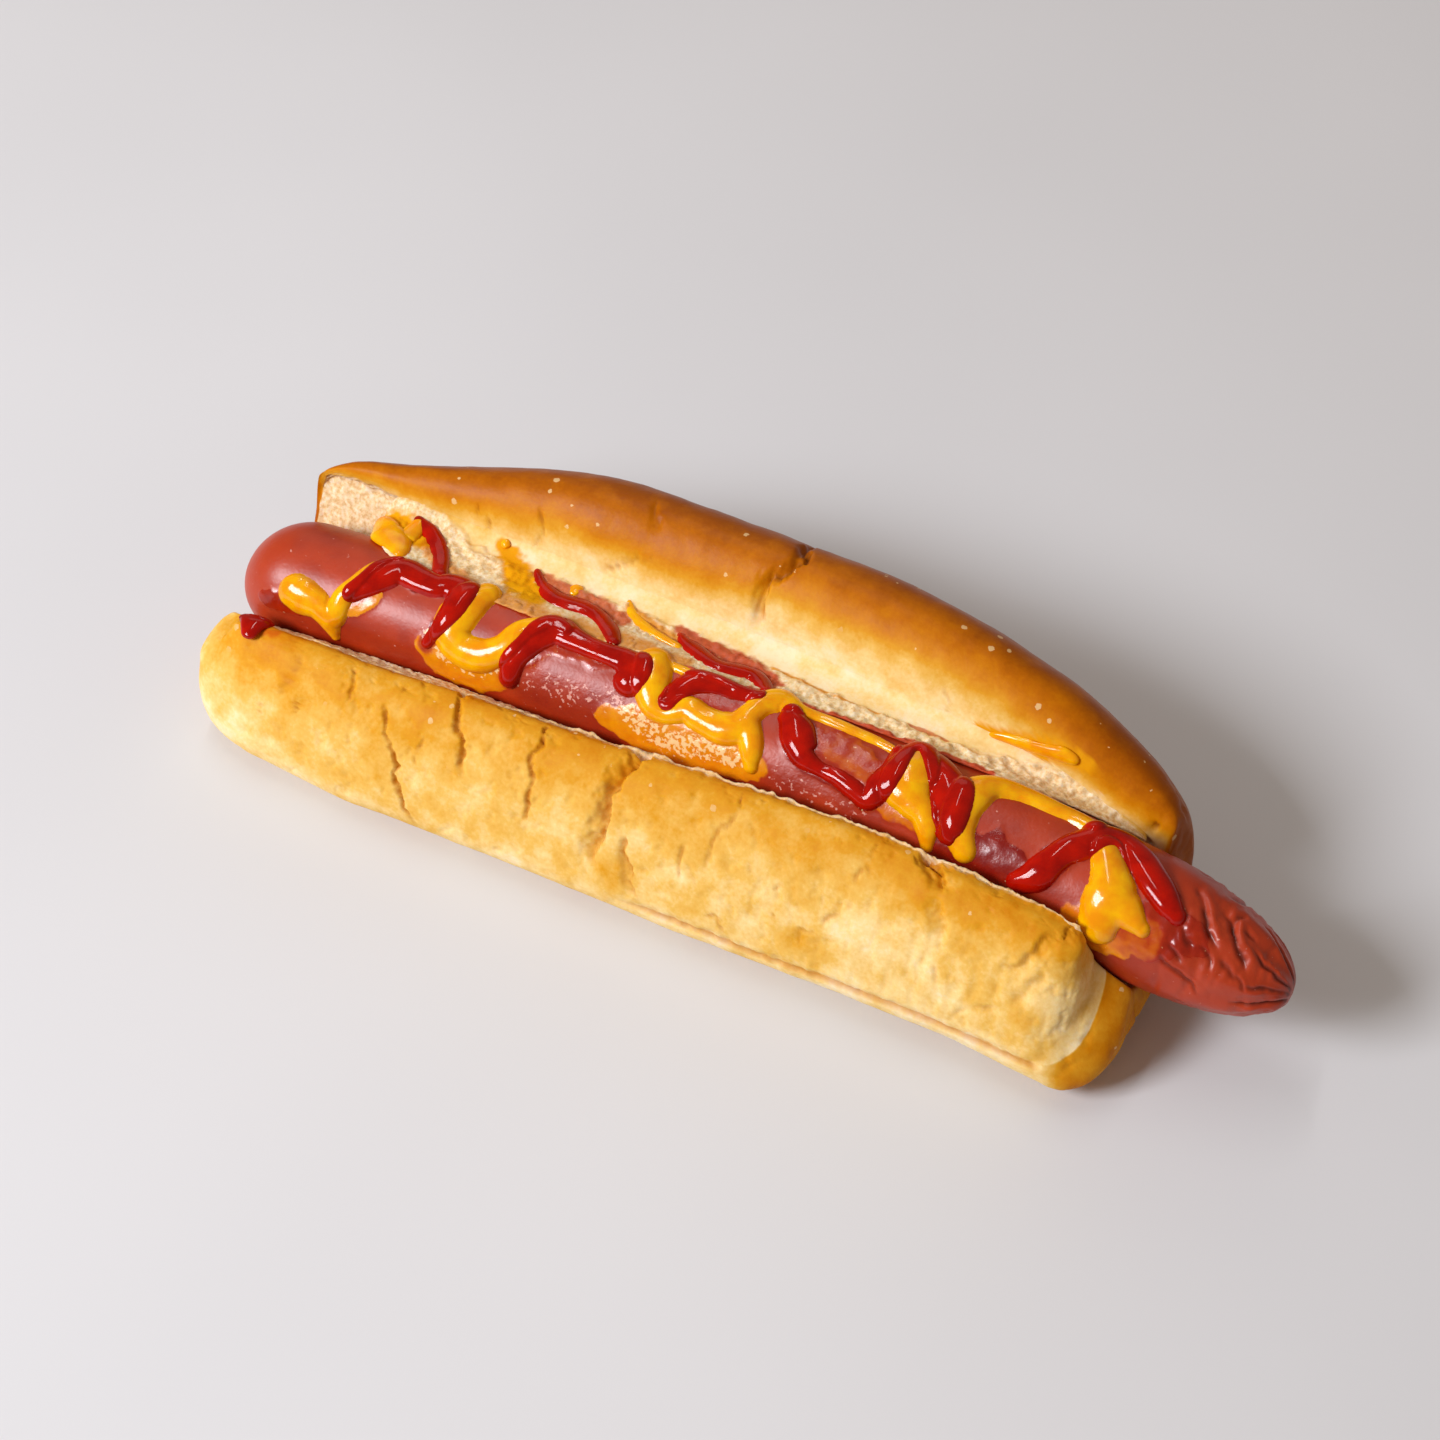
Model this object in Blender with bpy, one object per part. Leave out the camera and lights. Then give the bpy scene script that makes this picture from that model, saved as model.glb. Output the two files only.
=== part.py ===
"""A frankfurter in a long soft bun that is cut from the side and stands on its hinge, opened upwards.

X runs along the sausage, from its blunt end to its tapered end. -Y is the front lobe of the bun, which was
its pale flat bottom in the oven, and +Y is the back lobe, which was its brown top. Z is up.
"""

import math

import bmesh
import bpy
from mathutils import Vector

MM = 0.001

# The sausage: a round bar, bowed in plan, whose free ends hang a little lower than its middle.
SAUSAGE_LENGTH = 193 * MM
SAUSAGE_RADIUS = 10.7 * MM
SAUSAGE_HEIGHT = 21.0 * MM
SAUSAGE_BOW = 4.6 * MM
SAUSAGE_DROOP = 1.6 * MM
SAUSAGE_Y = -5.75 * MM
BLUNT_CAP = 11 * MM
TAPERED_CAP = 25 * MM
PLEATS = 9
PLEAT_DEPTH = 0.5 * MM
SAUSAGE_RINGS = 46
SAUSAGE_SIDES = 28

# The bun is laid out by s along it, 0 at -X and 1 at +X, and by t round its section, 0 at the front cut edge
# and 1 at the back one. Each row: t, where the crust meets the cut surface at either end, then how far the
# nose of the crust stands out past that, and how far before the nose the end starts to round over, in mm.
BUN_ENDS = (
    (0.00, -88.0, 64.0, 0.0, 0.0, 12.0, 8.0),
    (0.10, -90.5, 65.0, 0.0, 1.0, 24.0, 8.0),
    (0.20, -93.0, 66.5, 3.0, 1.5, 20.0, 8.0),
    (0.30, -93.0, 73.0, 3.5, 2.0, 14.0, 8.0),
    (0.45, -92.5, 73.0, 3.0, 2.0, 10.0, 10.0),
    (0.65, -92.0, 71.0, 2.0, 2.0, 9.0, 20.0),
    (0.85, -91.5, 69.0, 1.0, 1.0, 10.0, 30.0),
    (1.00, -91.5, 68.0, 0.0, 0.0, 12.0, 30.0),
)
CHANNEL_GAP = 0.45 * MM
CUT_FACE_SHARE = 0.2
BUN_STATIONS = 48
BUN_STEPS = 30
NOSE_SHARE = 0.45
# Where along it the bun has stations twice as close, for its creases.
CROWDED = ((0.3, 0.4), (0.46, 0.58), (0.68, 0.76))

# The cut edges of the front and the back lobe, every 20 mm along X: (out, up) in mm from the sausage's centre
# line. The bun gapes wider towards -X, where the back lobe shows a high cut face.
EDGES_START = -100 * MM
EDGES_STEP = 20 * MM
FRONT_EDGE = (
    (14.0, 3.0), (14.0, 2.8), (14.0, 2.0), (13.8, 2.6), (13.4, 3.4), (12.8, 5.0), (12.4, 6.8), (12.2, 7.4),
    (12.0, 7.0), (12.0, 6.6),
)
BACK_EDGE = (
    (17.5, 10.8), (15.8, 9.6), (14.2, 4.4), (13.4, 1.0), (13.0, 0.3), (12.6, 0.3), (12.2, 1.2), (12.2, 2.4),
    (12.0, 0.8), (12.0, 0.0),
)

# The outside of the bun in cross-section at mid-length, as (y, z) in mm from the sausage's plan line and the
# floor: from the front cut edge, down the front lobe, under the hinge and up the back lobe to its cut edge.
OUTLINE = (
    (-12.8, 26.0), (-15.5, 27.0), (-20.0, 24.8), (-24.5, 19.2), (-28.0, 12.5), (-30.0, 6.0), (-28.0, 1.5),
    (-21.0, 0.0), (-10.0, 0.0), (0.0, 0.0), (10.0, 0.0), (20.0, 0.8), (28.0, 5.0), (32.5, 12.5), (34.2, 22.0),
    (33.0, 32.0), (28.5, 39.5), (22.0, 42.0), (16.2, 38.0), (12.8, 30.5), (12.6, 21.3),
)

# Creases in the crust: (x in mm, t) where one starts and ends, then its depth and half width in mm.
CREASES = (
    ((-2.4, 0.80), (-6.8, 0.97), 1.5, 2.6),
    ((-28.7, 0.86), (-27.0, 0.92), 0.5, 2.4),
    ((-11.0, 0.04), (-14.5, 0.22), 1.7, 3.2),
    ((-45.6, 0.03), (-40.0, 0.17), 1.1, 2.4),
    ((40.5, 0.04), (46.5, 0.14), 0.9, 3.0),
)
# The seam under the front lobe, where the pale bottom of the bun folds under it.
SEAM_T = 0.2333
SEAM_DEPTH = 0.9 * MM
SEAM_RANGE = (-12 * MM, 64 * MM)

# The drizzle: strands of mustard and ketchup laid over the sausage. Each lists its places as (x in mm, angle
# in degrees round the sausage from its top, front negative).
MUSTARD_RADIUS = 2.1 * MM
KETCHUP_RADIUS = 1.8 * MM
BEAD_STEP = 2.6 * MM
BEAD_LIFT = 0.3
MUSTARD = (
    ((-82, -48), (-78, -50), (-74.5, -46), (-73, -34), (-71, -19), (-69, -5), (-66, 0)),
    ((-49, 0), (-50.3, -18), (-50.3, -37), (-47.5, -50), (-44.5, -45), (-42, -24), (-38.5, -8), (-33, -8)),
    ((-17.7, -4), (-16, -25), (-14, -44), (-9.5, -40), (-4.8, -44), (-1, -38), (1.9, -14), (4.5, 4), (9, 2),
     (15, 1)),
    ((21, 2), (28.5, 4), (30.5, -8), (31.8, -30), (34, -48)),
    ((42, -42), (39.8, -24), (41, 0), (45, 15), (51.3, 19), (59.4, 18)),
    ((62.9, -4), (66, -28), (68.5, -40)),
)
KETCHUP = (
    ((-71, -38), (-69, -18), (-66.5, -4), (-61, -10), (-55, -4), (-54, -15), (-55, -46)),
    ((-40, -50), (-40, -34), (-36.7, -12), (-30, -13), (-23.2, -13), (-20.5, -25), (-20.2, -45)),
    ((-11.4, -34), (-10, -13), (-5.4, -6), (0.9, -3)),
    ((7, -8), (11.3, -25), (17, -42), (24.5, -42), (26.6, -18), (28.7, 8), (32, 8), (36, -10), (37.5, -48)),
    ((46, -50), (53, -50), (56.6, -29), (60, -1), (63.5, 15), (68.9, -3), (75.7, -32)),
)


def mix(a, b, share):
    return a + (b - a) * share


def ease(low, high, value):
    """0 below low, 1 above high, and a smooth rise between them."""
    share = min(max((value - low) / (high - low), 0.0), 1.0)
    return share * share * (3 - 2 * share)


def smooth_curve(points, t):
    """The point at t, from 0 to 1, of a Catmull-Rom curve through the points."""
    spans = len(points) - 1
    place = min(max(t, 0.0), 1.0) * spans
    i = min(int(place), spans - 1)
    f = place - i
    a, b, c, d = (points[min(max(k, 0), spans)] for k in (i - 1, i, i + 1, i + 2))
    return tuple(
        0.5 * (2 * q + (r - p) * f + (2 * p - 5 * q + 4 * r - s) * f * f + (3 * q - p - 3 * r + s) * f ** 3)
        for p, q, r, s in zip(a, b, c, d)
    )


def round_cap(distance, cap):
    """How full the shape is at a distance from its end: a quarter ellipse that is cap long."""
    return math.sqrt(max(1 - (1 - min(distance / cap, 1.0)) ** 2, 0.0))


def sausage_line(x):
    """(y, z) of the sausage's centre line at x."""
    along = 2 * x / SAUSAGE_LENGTH
    return SAUSAGE_Y + SAUSAGE_BOW * (1 - along ** 2), SAUSAGE_HEIGHT - SAUSAGE_DROOP * abs(along) ** 3


def sausage_radius(x, angle):
    """The sausage's radius at x: blunt at -X, tapered and pleated like a tied casing at +X."""
    left = x + SAUSAGE_LENGTH / 2
    right = SAUSAGE_LENGTH / 2 - x
    radius = SAUSAGE_RADIUS * round_cap(left, BLUNT_CAP) * round_cap(right, TAPERED_CAP) ** 0.9
    pleated = ease(TAPERED_CAP, 0.2 * TAPERED_CAP, right) * round_cap(right, 0.2 * TAPERED_CAP)
    return radius - PLEAT_DEPTH * pleated * (0.5 + 0.5 * math.cos(PLEATS * angle))


def on_sausage(x, angle, height=0.0):
    """A point at an angle from the sausage's top, front negative, and a height above its skin."""
    y, z = sausage_line(x)
    reach = sausage_radius(x, angle) + height
    return Vector((x, y + reach * math.sin(angle), z + reach * math.cos(angle)))


def bun_ends(t):
    """The row of BUN_ENDS at t, without t, in metres and smoothly blended."""
    for low, high in zip(BUN_ENDS, BUN_ENDS[1:]):
        if t <= high[0]:
            share = ease(low[0], high[0], t)
            return [mix(a, b, share) * MM for a, b in zip(low[1:], high[1:])]
    return [value * MM for value in BUN_ENDS[-1][1:]]


def cut_x(s, t):
    """Where station s lies on the cut surface."""
    left, right = bun_ends(t)[:2]
    return mix(left, right, mix(s, 0.5 - 0.5 * math.cos(math.pi * s), 0.75))


def crust_station(s, t):
    """Where station s lies on the crust, and how thick the bun is there as a share of its full thickness."""
    left, right, left_nose, right_nose, left_cap, right_cap = bun_ends(t)
    if s > 0.5:
        x, share = crust_end(1 - s, right - left, right_nose, right_cap)
        x = right - x
    else:
        x, share = crust_end(s, right - left, left_nose, left_cap)
        x = left + x
    edge = min(ease(0.0, 0.08, t), ease(1.0, 0.92, t))
    return mix(cut_x(s, t), x, edge), share


def crust_end(s, length, nose, cap):
    """Distance from the end's seam and thickness share, for s from 0 at the seam to 0.5 at mid-length.

    The crust leaves the cut surface, goes out round the nose and back over the cap.
    """
    turn = 0.05
    over = 0.2
    if s < turn:
        angle = math.pi / 2 * (1 - s / turn)
        return -nose * math.cos(angle), NOSE_SHARE * (1 - math.sin(angle))
    if s < over:
        angle = math.pi / 2 * (s - turn) / (over - turn)
        return -nose + cap * (1 - math.cos(angle)), mix(NOSE_SHARE, 1.0, math.sin(angle))
    return mix(cap - nose, length / 2, (s - over) / (0.5 - over)), 1.0


def cut_edges(x):
    """(y, z) of the front and the back cut edge at x."""
    y, z = sausage_line(x)
    t = (x - EDGES_START) / (EDGES_STEP * (len(FRONT_EDGE) - 1))
    front_out, front_up = smooth_curve(FRONT_EDGE, t)
    back_out, back_up = smooth_curve(BACK_EDGE, t)
    return (y - front_out * MM, z + front_up * MM), (y + back_out * MM, z + back_up * MM)


def inner_point(x, t):
    """The cut surface at t: down the front face, round the channel under the sausage, up the back face."""
    y, z = sausage_line(x)
    reach = SAUSAGE_RADIUS + CHANNEL_GAP
    front, back = cut_edges(x)
    start, end = CUT_FACE_SHARE, 1 - CUT_FACE_SHARE
    if t < start:
        return mix(front[0], y - reach, t / start), mix(front[1], z, t / start)
    if t > end:
        return mix(y + reach, back[0], (t - end) / (1 - end)), mix(z, back[1], (t - end) / (1 - end))
    angle = math.pi * ((t - start) / (end - start) - 0.5)
    return y + reach * math.sin(angle), z - reach * math.cos(angle)


def swell(x, t):
    """How thick each lobe is at x, as a share of its thickness at mid-length."""
    high = ease(0.6, 0.85, t)
    right_loss = mix(0.30, 0.46, high) * ease(10 * MM, 90 * MM, x)
    left_loss = mix(0.20, 0.48, high) * ease(-35 * MM, -95 * MM, x)
    back = 1 - right_loss - left_loss
    front = 1 - 0.14 * ease(-10 * MM, 60 * MM, x) - 0.12 * ease(-60 * MM, -90 * MM, x)
    return mix(front, back, ease(0.3, 0.62, t))


def valley(distance, half_width):
    """1 in the middle of a groove and 0 outside it."""
    share = min(abs(distance) / half_width, 1.0)
    return (1 - share) ** 2 * (1 + share)


def relief(x, t):
    """How deep the crust lies below its plain shape at x and t."""
    depth = 0.0
    for (x0, t0), (x1, t1), deep, half_width in CREASES:
        share = (t - t0) / (t1 - t0)
        run = ease(-0.12, 0.1, share) * ease(1.12, 0.8, share)
        place = mix(x0, x1, share) * MM
        depth = max(depth, deep * MM * run * valley(x - place, half_width * MM))
    run = ease(SEAM_RANGE[0], SEAM_RANGE[0] + 12 * MM, x) * ease(SEAM_RANGE[1], SEAM_RANGE[1] - 4 * MM, x)
    return depth + SEAM_DEPTH * run * valley(t - SEAM_T, 0.034)


def outer_point(s, t):
    """The crust at station s and t: as far out from the cut surface as the lobe is thick there."""
    x, share = crust_station(s, t)
    here = inner_point(x, t)
    middle = inner_point(0.0, t)
    y, z = smooth_curve(OUTLINE, t)
    out = Vector((0.0, y * MM - (middle[0] - SAUSAGE_Y - SAUSAGE_BOW), z * MM - middle[1]))
    reach = out.length * swell(x, t) * share
    out = out.normalized() * (reach - min(relief(x, t), 0.5 * reach))
    return Vector((x, here[0] + out.y, max(here[1] + out.z, 0.0)))


def cut_point(s, t):
    x = cut_x(s, t)
    return Vector((x, *inner_point(x, t)))


def stations(crowded):
    """Places of the stations from 0 to 1, with extra ones between those near the creases."""
    places = [i / BUN_STATIONS for i in range(BUN_STATIONS + 1)]
    halves = [(a + b) / 2 for a, b in zip(places, places[1:])]
    extra = [half for half in halves if any(low < half < high for low, high in crowded)]
    return sorted(places + extra)


def bun_mesh():
    """A loft along X through unlike sections: the crust and the cut surface, joined at all their edges."""
    bm = bmesh.new()
    rows = stations(CROWDED)
    for place in (outer_point, cut_point):
        grid = [[bm.verts.new(place(s, j / BUN_STEPS)) for j in range(BUN_STEPS + 1)] for s in rows]
        for low, high in zip(grid, grid[1:]):
            for j in range(BUN_STEPS):
                face = bm.faces.new((low[j], low[j + 1], high[j + 1], high[j]))
                face.material_index = int(place is cut_point)
    bmesh.ops.remove_doubles(bm, verts=bm.verts, dist=1e-6)
    bmesh.ops.recalc_face_normals(bm, faces=bm.faces)
    mesh = bpy.data.meshes.new("bun")
    bm.to_mesh(mesh)
    bm.free()
    return mesh


def sausage_object(collection):
    """A sphere's grid, drawn out into the bowed bar."""
    bm = bmesh.new()
    bmesh.ops.create_uvsphere(bm, u_segments=SAUSAGE_SIDES, v_segments=SAUSAGE_RINGS, radius=1)
    for v in bm.verts:
        v.co = on_sausage(v.co.z * SAUSAGE_LENGTH / 2, math.atan2(v.co.y, v.co.x))
    bmesh.ops.recalc_face_normals(bm, faces=bm.faces)
    mesh = bpy.data.meshes.new("sausage")
    bm.to_mesh(mesh)
    bm.free()
    obj = bpy.data.objects.new("sausage", mesh)
    collection.objects.link(obj)
    return obj


def bead(name, waypoints, radius, collection):
    """One strand of sauce: a round bead that lies half sunk in the sausage's skin."""
    span = sum(math.hypot(b[0] - a[0], 0.187 * (b[1] - a[1])) for a, b in zip(waypoints, waypoints[1:])) * MM
    count = max(round(span / BEAD_STEP), 4)
    curve = bpy.data.curves.new(name, "CURVE")
    curve.dimensions = "3D"
    curve.bevel_depth = radius
    curve.bevel_resolution = 2
    curve.use_fill_caps = True
    spline = curve.splines.new("POLY")
    spline.points.add(count)
    for k, point in enumerate(spline.points):
        x, angle = smooth_curve(waypoints, k / count)
        point.co = (*on_sausage(x * MM, math.radians(angle), BEAD_LIFT * radius), 1)
        point.radius = mix(0.62, 1.0, min(k, count - k, 1))
    source = bpy.data.objects.new(name + "_curve", curve)
    collection.objects.link(source)
    bpy.context.view_layer.update()
    mesh = bpy.data.meshes.new_from_object(source.evaluated_get(bpy.context.evaluated_depsgraph_get()))
    bpy.data.objects.remove(source, do_unlink=True)
    bm = bmesh.new()
    bm.from_mesh(mesh)
    bmesh.ops.remove_doubles(bm, verts=bm.verts, dist=1e-5)
    bmesh.ops.recalc_face_normals(bm, faces=bm.faces)
    bm.to_mesh(mesh)
    bm.free()
    obj = bpy.data.objects.new(name, mesh)
    collection.objects.link(obj)
    return obj


def material(name, colour, roughness):
    made = bpy.data.materials.new(name)
    made.use_nodes = True
    shader = made.node_tree.nodes["Principled BSDF"]
    shader.inputs["Base Color"].default_value = (*colour, 1)
    shader.inputs["Roughness"].default_value = roughness
    return made


def main():
    for obj in list(bpy.data.objects):
        bpy.data.objects.remove(obj, do_unlink=True)
    hot_dog = bpy.data.collections.new("hot dog")
    drizzle = bpy.data.collections.new("drizzle")
    for collection in (hot_dog, drizzle):
        bpy.context.scene.collection.children.link(collection)

    bun = bpy.data.objects.new("bun", bun_mesh())
    hot_dog.objects.link(bun)
    sausage = sausage_object(hot_dog)
    sauces = (("mustard", MUSTARD, MUSTARD_RADIUS), ("ketchup", KETCHUP, KETCHUP_RADIUS))
    for sauce, strands, radius in sauces:
        for k, waypoints in enumerate(strands):
            bead(f"{sauce}_{k}", waypoints, radius, drizzle)

    fuse = sausage.modifiers.new("drizzle", "BOOLEAN")
    fuse.operation = "UNION"
    fuse.operand_type = "COLLECTION"
    fuse.collection = drizzle
    fuse.solver = "EXACT"
    fuse.use_self = True
    with bpy.context.temp_override(object=sausage):
        bpy.ops.object.modifier_apply(modifier="drizzle")
    for obj in list(drizzle.objects):
        bpy.data.objects.remove(obj, do_unlink=True)
    bpy.data.collections.remove(drizzle)

    bun.data.materials.append(material("baked crust", (0.62, 0.30, 0.07), 0.5))
    bun.data.materials.append(material("crumb", (0.85, 0.72, 0.48), 0.9))
    sausage.data.materials.clear()
    sausage.data.materials.append(material("sausage skin", (0.45, 0.07, 0.03), 0.35))
    for obj in (bun, sausage):
        obj.data.shade_smooth()
        obj.data.set_sharp_from_angle(angle=math.radians(50))


main()
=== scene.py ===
"""Looks for a frankfurter in a long soft bun that is cut from the side, with mustard and ketchup over it.

X runs along the sausage, from its blunt end to its tapered end. -Y is the front lobe of the bun, +Y the back
lobe, and Z is up. The bun is laid out as in the part's source: s runs along it and t round its section, from
0 at the front cut edge, under the hinge, to 1 at the back cut edge.
"""

import math

import bmesh
import bpy
import numpy as np
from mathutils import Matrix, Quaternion, Vector, noise


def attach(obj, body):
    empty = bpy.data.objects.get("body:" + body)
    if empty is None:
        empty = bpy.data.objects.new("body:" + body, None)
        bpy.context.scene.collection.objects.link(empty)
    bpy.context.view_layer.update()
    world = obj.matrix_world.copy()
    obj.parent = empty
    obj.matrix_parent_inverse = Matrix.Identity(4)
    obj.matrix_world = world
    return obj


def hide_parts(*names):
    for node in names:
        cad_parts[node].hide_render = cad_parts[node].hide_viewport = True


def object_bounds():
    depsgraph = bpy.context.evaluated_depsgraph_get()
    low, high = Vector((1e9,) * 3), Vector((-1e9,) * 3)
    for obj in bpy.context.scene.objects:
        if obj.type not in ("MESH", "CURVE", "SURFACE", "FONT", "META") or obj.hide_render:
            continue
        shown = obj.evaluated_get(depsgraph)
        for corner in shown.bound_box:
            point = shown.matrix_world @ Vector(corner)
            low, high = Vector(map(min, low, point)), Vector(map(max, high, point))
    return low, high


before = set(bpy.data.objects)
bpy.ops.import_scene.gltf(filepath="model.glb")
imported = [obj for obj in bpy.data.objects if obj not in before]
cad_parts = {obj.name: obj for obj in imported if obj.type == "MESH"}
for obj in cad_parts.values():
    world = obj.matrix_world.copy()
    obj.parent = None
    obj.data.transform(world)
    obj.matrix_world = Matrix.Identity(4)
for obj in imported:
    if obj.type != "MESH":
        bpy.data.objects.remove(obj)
CAD_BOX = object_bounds()

MM = 0.001

# The sausage, as in the part's source.
SAUSAGE_LENGTH = 193 * MM
SAUSAGE_RADIUS = 10.7 * MM
SAUSAGE_HEIGHT = 21.0 * MM
SAUSAGE_BOW = 4.6 * MM
SAUSAGE_DROOP = 1.6 * MM
SAUSAGE_Y = -5.75 * MM
BLUNT_CAP = 11 * MM
TAPERED_CAP = 25 * MM
PLEATS = 9
PLEAT_DEPTH = 0.5 * MM

# The bun, as in the part's source: t, the ends of the cut surface, the noses and the caps, in mm.
BUN_ENDS = (
    (0.00, -88.0, 64.0, 0.0, 0.0, 12.0, 8.0),
    (0.10, -90.5, 65.0, 0.0, 1.0, 24.0, 8.0),
    (0.20, -93.0, 66.5, 3.0, 1.5, 20.0, 8.0),
    (0.30, -93.0, 73.0, 3.5, 2.0, 14.0, 8.0),
    (0.45, -92.5, 73.0, 3.0, 2.0, 10.0, 10.0),
    (0.65, -92.0, 71.0, 2.0, 2.0, 9.0, 20.0),
    (0.85, -91.5, 69.0, 1.0, 1.0, 10.0, 30.0),
    (1.00, -91.5, 68.0, 0.0, 0.0, 12.0, 30.0),
)
CHANNEL_GAP = 0.45 * MM
CUT_FACE_SHARE = 0.2
NOSE_SHARE = 0.45
EDGES_START = -100 * MM
EDGES_STEP = 20 * MM
FRONT_EDGE = (
    (14.0, 3.0), (14.0, 2.8), (14.0, 2.0), (13.8, 2.6), (13.4, 3.4), (12.8, 5.0), (12.4, 6.8), (12.2, 7.4),
    (12.0, 7.0), (12.0, 6.6),
)
BACK_EDGE = (
    (17.5, 10.8), (15.8, 9.6), (14.2, 4.4), (13.4, 1.0), (13.0, 0.3), (12.6, 0.3), (12.2, 1.2), (12.2, 2.4),
    (12.0, 0.8), (12.0, 0.0),
)
OUTLINE = (
    (-12.8, 26.0), (-15.5, 27.0), (-20.0, 24.8), (-24.5, 19.2), (-28.0, 12.5), (-30.0, 6.0), (-28.0, 1.5),
    (-21.0, 0.0), (-10.0, 0.0), (0.0, 0.0), (10.0, 0.0), (20.0, 0.8), (28.0, 5.0), (32.5, 12.5), (34.2, 22.0),
    (33.0, 32.0), (28.5, 39.5), (22.0, 42.0), (16.2, 38.0), (12.8, 30.5), (12.6, 21.3),
)

# How finely the pieces are meshed. The two lobes meet under the bun, at LOBES_MEET.
LOBES_MEET = 0.33
CUT_EVERY = 3
FRONT_STEPS = 138
BACK_STEPS = 147
WALL_STEPS = 4
TURN_STATIONS = 10
CAP_STATIONS = 34
MIDDLE_STATIONS = 376
OVERHANG_STEP = 0.33 * MM
OVERHANG_TOP_STEPS = 54
OVERHANG_UNDER_STEPS = 16
SKIN_SEGMENTS = 210
SKIN_RINGS = 440
DRIZZLE_STEP = 0.25  # mm

# How deep each kind of the bread's relief goes, in mm.
SOFT_DENTS = 0.35
FRONT_WRINKLES = 0.3
END_PUCKERS = 0.9
CRUST_PITS = 0.5
TORN_GRAIN = 0.75
CUT_FACE_PITS = 0.6
CREASE_SCALE = 1.35

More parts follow.
